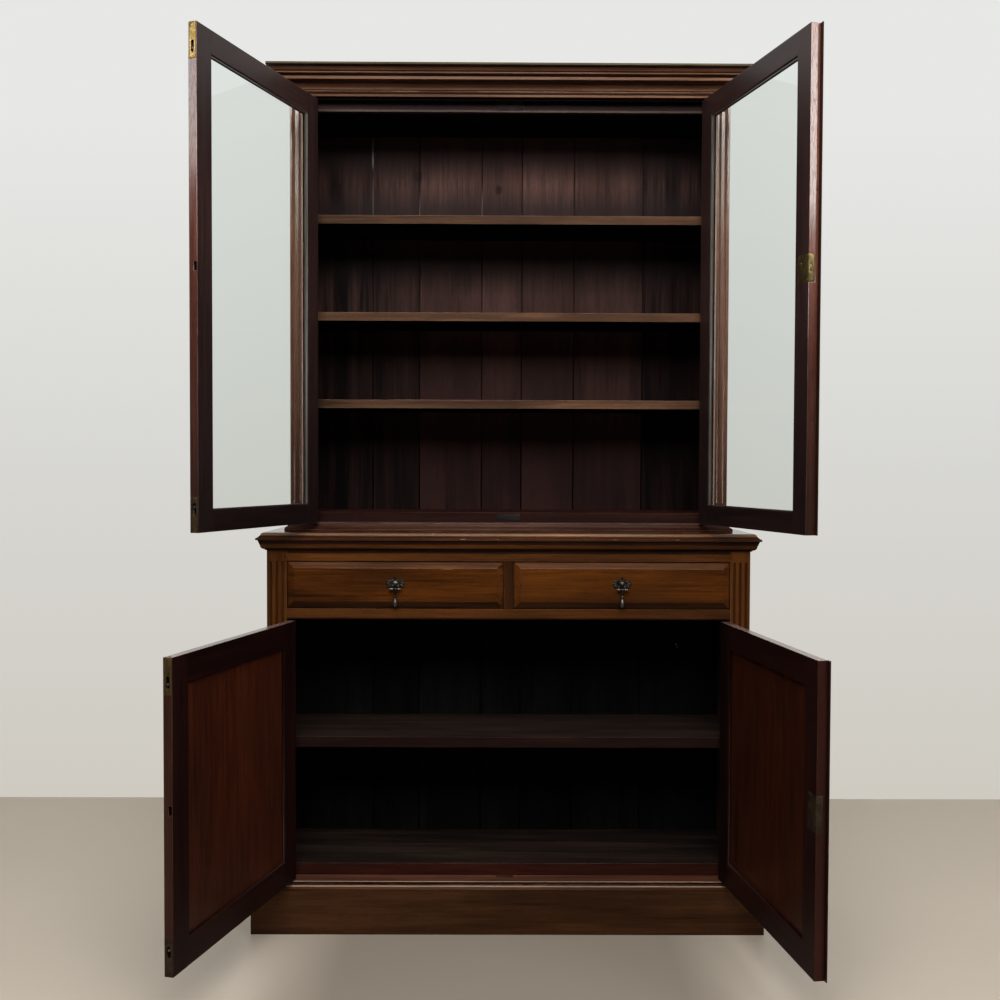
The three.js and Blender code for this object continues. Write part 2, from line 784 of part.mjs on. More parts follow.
// Hangs a pull on a face, with the plate's back against it
function addPull(name, radius, x, y, z, parent) {
  const plate = add(`${name}_pull_plate`, pullPlate(radius), metals.aged, parent);
  plate.position.set(x, y - joint, z);
  const drop = add(`${name}_pull_drop`, dropBody, metals.aged, parent);
  drop.position.set(x, y - joint - pullPivotOut, z - pullPivotBelow);
}

// A drawer front: a bevelled margin round a raised field
function drawerFront(x0, x1) {
  const y = baseFrontY;
  const ring = (inset, depth) => [
    [x0 + inset, depth, drawerBottomZ + inset],
    [x1 - inset, depth, drawerBottomZ + inset],
    [x1 - inset, depth, drawerTopZ - inset],
    [x0 + inset, depth, drawerTopZ - inset],
  ];
  const field = drawerBevelMargin + drawerFieldStep;
  const rings = [
    ring(0, y + frontThickness),
    ring(0, y + drawerBevelDrop),
    ring(drawerBevelMargin, y + drawerFieldStep),
    ring(field, y),
  ];
  return closeEnds(skin(rings, false), rings);
}

// Two sides, a back and a bottom, open to the front board
function drawerBox(x0, x1) {
  const y0 = baseBackOfFrameY + joint;
  const y1 = y0 + drawerDepth;
  const z0 = drawerRailTop + joint;
  const t = drawerSideThickness;
  const z1 = z0 + drawerSideHeight;
  return join(
    block(x0, x0 + t, y0, y1, z0, z1),
    block(x1 - t, x1, y0, y1, z0, z1),
    block(x0, x1, y1 - t, y1, z0, z1),
    block(x0, x1, y0, y1, z0 + drawerBottomRise, z0 + drawerBottomRise + drawerBottomThickness),
  );
}

[['left', -1], ['right', 1]].forEach(([side, sign]) => {
  const outerX = sign * (baseOpeningHalf - drawerGap);
  const innerX = sign * (dividerWidth / 2 + drawerGap);
  const x0 = Math.min(outerX, innerX);
  const x1 = Math.max(outerX, innerX);
  add(`drawer_front_${side}`, drawerFront(x0, x1), woods.drawer);
  add(`drawer_box_${side}`, drawerBox(x0, x1), woods.pale);
  const middle = (drawerBottomZ + drawerTopZ) / 2;
  addPull(`drawer_${side}`, drawerPullRadius, (x0 + x1) / 2, baseFrontY, middle + drawerPullRise, group);
});

// Doors are drawn left-handed about their pin: x runs to the meeting edge and y into the cabinet
const faceY = pinProud;
const innerY = pinProud + doorThickness;

// The section of a door frame, from its outside edge round the bead and the groove for the pane
function frameOutline(grooveFront, grooveBack) {
  return [
    { edge: true, depth: innerY },
    { edge: true, depth: faceY },
    { away: beadWidth, depth: faceY },
    ...beadOutlineShares.map(([wide, deep]) => ({ away: wide * beadWidth, depth: faceY + deep * beadDepth })),
    { away: 0, depth: grooveFront },
    { away: paneGrooveDepth, depth: grooveFront },
    { away: paneGrooveDepth, depth: grooveBack },
    { away: 0, depth: grooveBack },
    { away: 0, depth: innerY - backChamfer },
    { away: backChamfer, depth: innerY },
  ];
}

// The leaf that turns with the door, its knuckle and the pin
function hinge(middle) {
  const half = hingeLength / 2;
  const knuckleHalf = hingeLength / 6 - joint;
  const edge = doorGap / 2;
  return join(
    block(edge, edge + hingeLeaf, faceY + joint, faceY + hingeLeafDepth, middle - half, middle + half),
    block(edge, edge + hingeLeaf, 0, faceY + hingeLeaf, middle - knuckleHalf, middle + knuckleHalf),
    rod('z', hingeKnuckle, middle - knuckleHalf, middle + knuckleHalf, 0, 0, hingeSides),
    rod('z', hingePin, middle - half - hingePin, middle + half + hingePin, 0, 0, hingeSides),
  );
}

function hingeRecess(middle) {
  const half = hingeLength / 2 + joint;
  const edge = doorGap / 2;
  return block(edge - overrun, edge + hingeLeaf + joint, faceY - overrun, faceY + hingeLeafDepth + joint,
    middle - half, middle + half);
}

// A flush bolt: end is the door's end, and way is +1 at the top and -1 at the bottom
const span = (end, way, near, far) => [Math.min(end - way * near, end - way * far),
  Math.max(end - way * near, end - way * far)];
const middleY = faceY + doorThickness / 2;

function boltPlate(width, end, way) {
  const [z0, z1] = span(end, way, 0, boltPlateLength);
  const [w0, w1] = span(end, way, boltWindowInset, boltWindowInset + boltWindowLength);
  const r = boltWindowWidth / 2;
  const x0 = width - boltPlateThickness;
  const half = boltPlateWidth / 2;
  const through = [x0 - overrun, width + overrun];
  return cut(
    block(x0, width, middleY - half, middleY + half, z0, z1),
    block(...through, middleY - r, middleY + r, w0 + r, w1 - r),
    rod('x', r, ...through, middleY, w0 + r, boltSides),
    rod('x', r, ...through, middleY, w1 - r, boltSides),
  );
}

function flushBolt(width, end, way) {
  const knobAt = boltWindowInset + boltWindowLength - boltWindowWidth;
  const [z0, z1] = span(end, way, doorGap / 2, knobAt + boltWindowWidth / 2);
  const x = width - boltPlateThickness - boltBackset;
  return join(
    rod('z', boltRadius, z0, z1, x, middleY, boltSides),
    rod('x', boltKnobRadius, x, width, middleY, end - way * knobAt, boltSides),
  );
}

function boltPocket(width, end, way) {
  const [z0, z1] = span(end, way, -overrun, boltPlateLength + joint);
  const half = boltPlateWidth / 2 + joint;
  const plateBack = width - boltPlateThickness - joint;
  const x = width - boltPlateThickness - boltBackset;
  const [c0, c1] = span(end, way, -overrun, boltWindowInset + boltWindowLength);
  const r = boltRadius + joint;
  const [w0, w1] = span(end, way, boltWindowInset, boltWindowInset + boltWindowLength);
  const clear = boltKnobRadius + joint;
  return join(
    block(plateBack, width + overrun, middleY - half, middleY + half, z0, z1),
    block(x - r, x + r, middleY - r, middleY + r, c0, c1),
    block(x, plateBack + overrun, middleY - clear, middleY + clear, w0, w1),
  );
}

// A cut lock let into the inner face, with a flange on the meeting edge
function lockCase(width, lock) {
  const z0 = lock.middle - lock.height / 2;
  const z1 = lock.middle + lock.height / 2;
  const body = join(
    block(width - lock.width, width, innerY - lockDepth, innerY, z0, z1),
    block(width - lockFlange, width, innerY - lockFlangeWidth, innerY, z0, z1),
  );
  return cut(body, lockBoltBody(width, lock, joint, overrun), keyhole(width, lock));
}

function lockBoltBody(width, lock, grow, reach) {
  const y = innerY - lockDepth / 2;
  return block(width - lockBoltLength - 2 * lockBoltTravel * Math.sign(grow), width + reach,
    y - lockBoltThickness / 2 - grow, y + lockBoltThickness / 2 + grow,
    lock.middle - lockBoltHeight / 2 - grow, lock.middle + lockBoltHeight / 2 + grow);
}

function lockPocket(width, lock) {
  const z0 = lock.middle - lock.height / 2 - joint;
  const z1 = lock.middle + lock.height / 2 + joint;
  return join(
    block(width - lock.width - joint, width + overrun, innerY - lockDepth - joint, innerY + overrun, z0, z1),
    block(width - lockFlange - joint, width + overrun, innerY - lockFlangeWidth - joint, innerY + overrun,
      z0, z1),
  );
}

// The keyhole runs from the face of the door through the lock
function keyhole(width, lock) {
  const x = width - keyholeBackset;
  const z = lock.middle + lockBoltHeight;
  return join(
    rod('y', keyholeRadius, -overrun, innerY + overrun, x, z, boltSides),
    block(x - keyholeRadius / 2, x + keyholeRadius / 2, -overrun, innerY + overrun, z - keyholeSlot, z),
  );
}

// The mortise in the left door's edge that the lock bolt enters
function strikeMortise(width, lock) {
  const y = innerY - lockDepth / 2;
  return block(width - strikeDepth, width + overrun, y - lockBoltThickness / 2 - joint - stopGap,
    y + lockBoltThickness / 2 + joint + stopGap, lock.middle - lockBoltHeight / 2 - overrun,
    lock.middle + lockBoltHeight / 2 + overrun);
}

// The half-round strip that covers the joint between a pair of doors
function astragal(width, z0, z1) {
  const start = width - astragalWidth / 2;
  const outline = [[start, faceY + stopGap]];
  for (let i = 0; i <= astragalSteps; i += 1) {
    const turn = (i / astragalSteps) * Math.PI;
    outline.push([width - (astragalWidth / 2) * Math.cos(turn),
      faceY - stopGap - (astragalThickness - stopGap) * Math.sin(turn)]);
  }
  outline.push([width, faceY - stopGap], [width, faceY + stopGap]);
  return standing(outline, z0, z1);
}

function doorPanel(opening) {
  const grow = paneGrooveDepth - joint;
  const back = middleY + panelEdge / 2;
  const ring = (inset, depth) => [
    [opening.x0 - grow + inset, depth, opening.z0 - grow + inset],
    [opening.x1 + grow - inset, depth, opening.z0 - grow + inset],
    [opening.x1 + grow - inset, depth, opening.z1 + grow - inset],
    [opening.x0 - grow + inset, depth, opening.z1 + grow - inset],
  ];
  const margin = grow + panelMargin;
  const rings = [
    ring(0, back),
    ring(0, back - panelEdge),
    ring(grow, back - panelEdge),
    ring(margin, back - panelEdge - panelField + drawerFieldStep),
    ring(margin + drawerFieldStep, back - panelEdge - panelField),
  ];
  return closeEnds(skin(rings, false), rings);
}

function doorPane(opening) {
  const grow = paneGrooveDepth - joint;
  const half = glassThickness / 2;
  return block(opening.x0 - grow, opening.x1 + grow, middleY - half, middleY + half, opening.z0 - grow,
    opening.z1 + grow);
}

// One door with everything that turns with it
function addDoor(spec) {
  const { name, right, openingHalf, front, z0, z1, stile, topRail, bottomRail } = spec;
  const { glazed, lock, angle, inset } = spec;
  const width = doorWidthOf(openingHalf);
  const hand = right ? mirrored : (body) => body;
  const sign = right ? -1 : 1;
  const pivot = new THREE.Group();
  pivot.position.set(sign * (-openingHalf + doorGap / 2), front - pinProud, 0);
  pivot.rotation.z = -sign * THREE.MathUtils.degToRad(angle);
  group.add(pivot);

  const outer = { x0: doorGap / 2, x1: width, z0, z1 };
  const opening = {
    x0: outer.x0 + stile, x1: width - stile, z0: z0 + bottomRail, z1: z1 - topRail,
  };
  const pane = (glazed ? glassThickness : panelEdge) / 2 + joint;
  const heights = hingeHeights(z0, z1, inset);
  let frame = mitredFrame(frameOutline(middleY - pane, middleY + pane), opening, outer);
  frame = cut(frame, ...heights.map(hingeRecess));
  if (right) {
    frame = cut(frame.add(astragal(width, z0, z1)), lockPocket(width, lock), keyhole(width, lock));
  } else {
    frame = cut(frame, boltPocket(width, z1, 1), boltPocket(width, z0, -1), strikeMortise(width, lock));
  }
  add(`${name}_frame`, hand(frame), woods.door, pivot);
  if (glazed) add(`${name}_glass`, hand(doorPane(opening)), clearGlass, pivot);
  else add(`${name}_panel`, hand(doorPanel(opening)), woods.panel, pivot);
  heights.forEach((z, i) => add(`${name}_hinge_${i + 1}`, hand(hinge(z)), metals.aged, pivot));
  if (right) {
    add(`${name}_lock_case`, hand(lockCase(width, lock)), metals.brass, pivot);
    add(`${name}_lock_bolt`, hand(lockBoltBody(width, lock, 0, 0)), metals.brass, pivot);
    addPull(name, doorPullRadius, -(width - keyholeBackset), faceY, lock.middle - doorPullBelowLock, pivot);
  } else {
    [['top', z1, 1], ['bottom', z0, -1]].forEach(([place, end, way]) => {
      add(`${name}_bolt_plate_${place}`, boltPlate(width, end, way), metals.brass, pivot);
      add(`${name}_bolt_${place}`, flushBolt(width, end, way), metals.brass, pivot);
    });
  }
}

[false, true].forEach((right) => {
  const side = right ? 'right' : 'left';
  addDoor({
    name: `upper_door_${side}`,
    right,
    openingHalf: upperOpeningHalf,
    front: upperFrontY,
    z0: upperDoorBottom,
    z1: upperDoorTop,
    stile: upperStile,
    topRail: upperTopRail,
    bottomRail: upperBottomRail,
    glazed: true,
    lock: upperLock,
    angle: right ? upperRightAngle : upperLeftAngle,
    inset: upperHingeInset,
  });
  addDoor({
    name: `lower_door_${side}`,
    right,
    openingHalf: baseOpeningHalf,
    front: baseFrontY,
    z0: lowerDoorBottom,
    z1: lowerDoorTop,
    stile: lowerStile,
    topRail: lowerRail,
    bottomRail: lowerRail,
    glazed: false,
    lock: lowerLock,
    angle: right ? lowerRightAngle : lowerLeftAngle,
    inset: lowerHingeInset,
  });
});

export default group;
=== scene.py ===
# Bookcase with glass doors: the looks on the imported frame. Metres, +Z up, the front towards -Y.
import json
import math
import random

import bmesh
import bpy
from mathutils import Matrix, Vector


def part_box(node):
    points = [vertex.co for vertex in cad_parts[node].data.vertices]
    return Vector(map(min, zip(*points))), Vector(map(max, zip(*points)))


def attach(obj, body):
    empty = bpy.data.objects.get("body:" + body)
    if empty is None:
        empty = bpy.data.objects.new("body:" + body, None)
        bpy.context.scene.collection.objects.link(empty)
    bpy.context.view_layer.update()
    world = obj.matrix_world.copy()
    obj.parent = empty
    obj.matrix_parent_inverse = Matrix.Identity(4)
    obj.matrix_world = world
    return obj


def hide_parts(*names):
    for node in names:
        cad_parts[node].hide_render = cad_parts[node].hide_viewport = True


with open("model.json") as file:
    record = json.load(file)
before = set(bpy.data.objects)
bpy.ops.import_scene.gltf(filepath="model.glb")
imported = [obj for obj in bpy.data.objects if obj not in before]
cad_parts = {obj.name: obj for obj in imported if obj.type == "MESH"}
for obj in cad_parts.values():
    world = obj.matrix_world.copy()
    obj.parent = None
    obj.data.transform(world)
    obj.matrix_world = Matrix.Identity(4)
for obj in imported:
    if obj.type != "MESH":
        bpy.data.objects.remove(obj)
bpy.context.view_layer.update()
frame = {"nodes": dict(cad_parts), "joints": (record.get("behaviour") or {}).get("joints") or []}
nodes = frame["nodes"]
swings = {joint["name"]: joint for joint in frame["joints"]}
scene = bpy.context.scene
print("frame loaded:", len(nodes), "nodes")

# Camera: eye level between the two cabinets, nearly square to the front
photoCamera = {
    "place": (-0.0334, -2.742, 1.1255),
    "lens": 38.946,
    "sensor": 36,
    "turn": 0.0044,
    "dip": 0.02884,
    "lean": 0.00378,
    "nearAndFar": (0.05, 60),
}


def inScene(name, data):
    thing = bpy.data.objects.new(name, data)
    scene.collection.objects.link(thing)
    return thing


def meshPiece(name, bm, materials):
    data = bpy.data.meshes.new(name)
    bm.to_mesh(data)
    bm.free()
    for material in materials:
        data.materials.append(material)
    return inScene(name, data)


def standCamera(spec):
    turn, dip, lean = spec["turn"], spec["dip"], spec["lean"]
    ahead = Vector((math.sin(turn) * math.cos(dip), math.cos(turn) * math.cos(dip), -math.sin(dip)))
    flatRight = Vector((math.cos(turn), -math.sin(turn), 0))
    plumbUp = flatRight.cross(ahead)
    right = flatRight * math.cos(lean) + plumbUp * math.sin(lean)
    up = plumbUp * math.cos(lean) - flatRight * math.sin(lean)
    data = bpy.data.cameras.new("photoCamera")
    data.sensor_width = spec["sensor"]
    data.lens = spec["lens"]
    data.clip_start, data.clip_end = spec["nearAndFar"]
    camera = inScene("photoCamera", data)
    camera.matrix_world = Matrix.Translation(spec["place"]) @ Matrix((right, up, -ahead)).transposed().to_4x4()
    scene.camera = camera


standCamera(photoCamera)

# Light: a soft box high in front and leaning over the cabinet, two beside it and one overhead
lampColour = (1.0, 0.985, 0.96)
lamps = {
    "frontSoftbox": {"place": (0.0, -2.85, 3.2), "aim": (0.0, -1.5, 1.7), "size": (3.2, 1.88), "power": 195},
    "rightSoftbox": {"place": (3.7, -3.36, 3.14), "aim": (0.6, -0.5, 1.9), "size": (1.4, 1.15), "power": 58},
    "leftSoftbox": {"place": (-4.3, -2.95, 3.34), "aim": (-0.6, -0.5, 2.0), "size": (1.5, 0.85), "power": 27},
    "overheadSoftbox": {"place": (0.0, -0.9, 4.6), "aim": (0.0, -0.9, 0.0), "size": (3.0, 2.0), "power": 50},
}
for name, spec in lamps.items():
    data = bpy.data.lights.new(name, "AREA")
    data.shape = "RECTANGLE"
    data.size, data.size_y = spec["size"]
    data.energy = spec["power"]
    data.color = lampColour
    lamp = inScene(name, data)
    lamp.location = spec["place"]
    lamp.rotation_euler = (Vector(spec["aim"]) - Vector(spec["place"])).to_track_quat("-Z", "Y").to_euler()


def newTree(name):
    material = bpy.data.materials.new(name)
    material.use_nodes = True
    material.node_tree.nodes.clear()
    return material, material.node_tree


def feed(tree, socket, value):
    # links an output to the socket or sets the socket's own value; three parts of a colour are opaque
    if isinstance(value, bpy.types.NodeSocket):
        tree.links.new(value, socket)
    elif socket.type == "RGBA" and len(value) == 3:
        socket.default_value = (*value, 1)
    else:
        socket.default_value = value


def put(tree, kind, settings=None, **sockets):
    # adds a shader node; its sockets are given by name with _ for a space, or by number after an i
    node = tree.nodes.new(f"ShaderNode{kind}")
    for key, value in (settings or {}).items():
        setattr(node, key, value)
    for key, value in sockets.items():
        numbered = key[0] == "i" and key[1:].isdigit()
        feed(tree, node.inputs[int(key[1:]) if numbered else key.replace("_", " ")], value)
    return node


def blendColours(tree, factor, first, second, mode="MIX"):
    settings = {"data_type": "RGBA", "blend_type": mode}
    return put(tree, "Mix", settings, i0=factor, i6=first, i7=second).outputs[2]


def sums(tree, operation, first, second=0.0, clamp=False):
    settings = {"operation": operation, "use_clamp": clamp}
    return put(tree, "Math", settings, i0=first, i1=second).outputs[0]


def times(tree, first, second):
    return sums(tree, "MULTIPLY", first, second)


def plus(tree, first, second, clamp=False):
    return sums(tree, "ADD", first, second, clamp)


def noise(tree, place, stretch, scale, detail, roughness, distortion=0.0):
    moved = put(tree, "Mapping", Vector=place, Scale=stretch)
    return put(tree, "TexNoise", Vector=moved.outputs[0], Scale=scale, Detail=detail,
               Roughness=roughness, Distortion=distortion).outputs[0]


def between(tree, value, low, high, newLow=0.0, newHigh=1.0):
    return put(tree, "MapRange", {"clamp": True}, Value=value, From_Min=low, From_Max=high,
               To_Min=newLow, To_Max=newHigh).outputs[0]


def attribute(tree, name, output):
    return put(tree, "Attribute", {"attribute_name": name}).outputs[output]


def objectPlace(tree):
    return put(tree, "TexCoord").outputs["Object"]


def height(tree, vector):
    return put(tree, "SeparateXYZ", Vector=vector).outputs[2]


def finishTree(tree, shader, kind="OutputMaterial"):
    put(tree, kind, Surface=shader.outputs[0])


# Woods. Every wooden piece carries boardPlace, its place along and across its own board, boardTone, how
# dark or light that board is, and edgeWear, which is 1 on the eased arrises.
woodPatterns = {  # stretch along and across the board, scale, detail, roughness and distortion
    "figure": ((0.06, 1, 1), 16, 4, 0.55, 0.8),
    "streaks": ((0.04, 1, 1), 150, 5, 0.7),
    "fibres": ((0.02, 1, 1), 700, 3, 0.6),
    "pores": ((0.05, 1, 1), 1100, 1, 0.5),
    "cloud": ((0.4, 1, 1), 6, 3, 0.55),
    "rubbed": ((0.25, 1, 1), 60, 4, 0.7),
}
woodRamps = {"figure": (0.36, 0.64), "streaks": (0.34, 0.66), "pores": (0.6, 0.72), "cloud": (0.38, 0.62),
             "rubbed": (0.36, 0.6)}
woodDefaults = {"figure": 0.5, "toneGain": 0.5, "cloud": 0.4, "pores": 0.5, "nook": 0.85, "nookReach": 0.008,
                "under": 0, "wear": 0.6, "relief": 0.25, "marks": (), "fade": None}


def thousandths(parts):
    return tuple(part / 1000 for part in parts)


def wood(name, given):
    look = {**woodDefaults, **given}
    material, tree = newTree(name)
    place = attribute(tree, "boardPlace", "Vector")
    tone = attribute(tree, "boardTone", "Fac")
    arris = attribute(tree, "edgeWear", "Fac")
    made = {key: noise(tree, place, *numbers) for key, numbers in woodPatterns.items()}
    ramp = {key: between(tree, made[key], *ends) for key, ends in woodRamps.items()}
    grain = plus(tree, times(tree, ramp["figure"], look["figure"]), times(tree, ramp["streaks"], 1 - look["figure"]))
    grain = plus(tree, grain, times(tree, tone, look["toneGain"]), clamp=True)
    colour = blendColours(tree, grain, look["dark"], look["light"])
    # the grime colour darkens random clouds here, and below it is also the colour of painted shade
    colour = blendColours(tree, times(tree, ramp["cloud"], look["cloud"]), colour, look["grimeAndShade"])
    colour = blendColours(tree, times(tree, ramp["pores"], look["pores"]), colour, look["pore"])
    # painted shade: creases, hollows and corners are darkened by ambient occlusion
    nook = put(tree, "AmbientOcclusion", {"samples": 6, "only_local": True}, Distance=look["nookReach"])
    creaseShading = between(tree, nook.outputs["AO"], 0.35, 0.9, look["nook"], 0.0)
    colour = blendColours(tree, creaseShading, colour, tuple(0.45 * part for part in look["grimeAndShade"]))
    if look["under"]:  # painted shade on faces that look down
        upward = height(tree, put(tree, "NewGeometry").outputs["Normal"])
        below = between(tree, upward, -0.8, -0.3, look["under"], 0.0)
        colour = blendColours(tree, below, colour, tuple(0.5 * part for part in look["grimeAndShade"]))
    worn = times(tree, arris, times(tree, ramp["rubbed"], look["wear"]))
    colour = blendColours(tree, worn, colour, look["worn"])
    spot = objectPlace(tree) if look["marks"] or look["fade"] else None
    for row in look["marks"]:  # a mark has a ragged edge, and runs out with the grain
        centre, reach, mark = map(thousandths, row)
        away = spot
        for operation, number in (("SUBTRACT", centre), ("MULTIPLY", tuple(1 / side for side in reach))):
            away = put(tree, "VectorMath", {"operation": operation}, i0=away, i1=number).outputs[0]
        away = put(tree, "VectorMath", {"operation": "LENGTH"}, i0=away).outputs["Value"]
        ragged = 0.35 if max(reach) < 1 else 0.08
        away = plus(tree, away, between(tree, made["streaks"], 0.3, 0.7, -ragged, ragged))
        colour = blendColours(tree, between(tree, away, 0.55, 1.0, 0.8, 0.0), colour, mark)
    if look["fade"]:  # darker towards the low end; on the upper pilasters, the door edges and the glazing bead this is a painted highlight high up
        low, high, power, least = look["fade"]
        kept = sums(tree, "POWER", between(tree, height(tree, spot), low, high), power)
        colour = blendColours(tree, 1.0, colour, blendColours(tree, kept, least, (1.0, 1.0, 1.0)), "MULTIPLY")
    rough = between(tree, plus(tree, made["streaks"], made["cloud"]), 0.7, 1.3, *look["gloss"])
    relief = plus(tree, times(tree, made["fibres"], 0.6), times(tree, made["streaks"], 0.6))
    relief = sums(tree, "SUBTRACT", relief, times(tree, ramp["pores"], 0.5))
    bump = put(tree, "Bump", Height=relief, Strength=look["relief"], Distance=0.0006)
    finishTree(tree, put(tree, "BsdfPrincipled", Base_Color=colour, Roughness=rough,
                         Normal=bump.outputs[0], Specular_IOR_Level=look["specular"]))
    return material


def tones(dark, light, grimeAndShade, pore, worn, gloss, specular, **more):
    # five colours in thousandths, the two ends of roughness, the specular level, and what differs from
    # woodDefaults; a mark is its middle and its reach in mm, and its colour in thousandths
    colours = {"dark": dark, "light": light, "grimeAndShade": grimeAndShade, "pore": pore, "worn": worn}
    return {**{key: thousandths(colour) for key, colour in colours.items()}, "gloss": gloss, "specular": specular,
            **more}


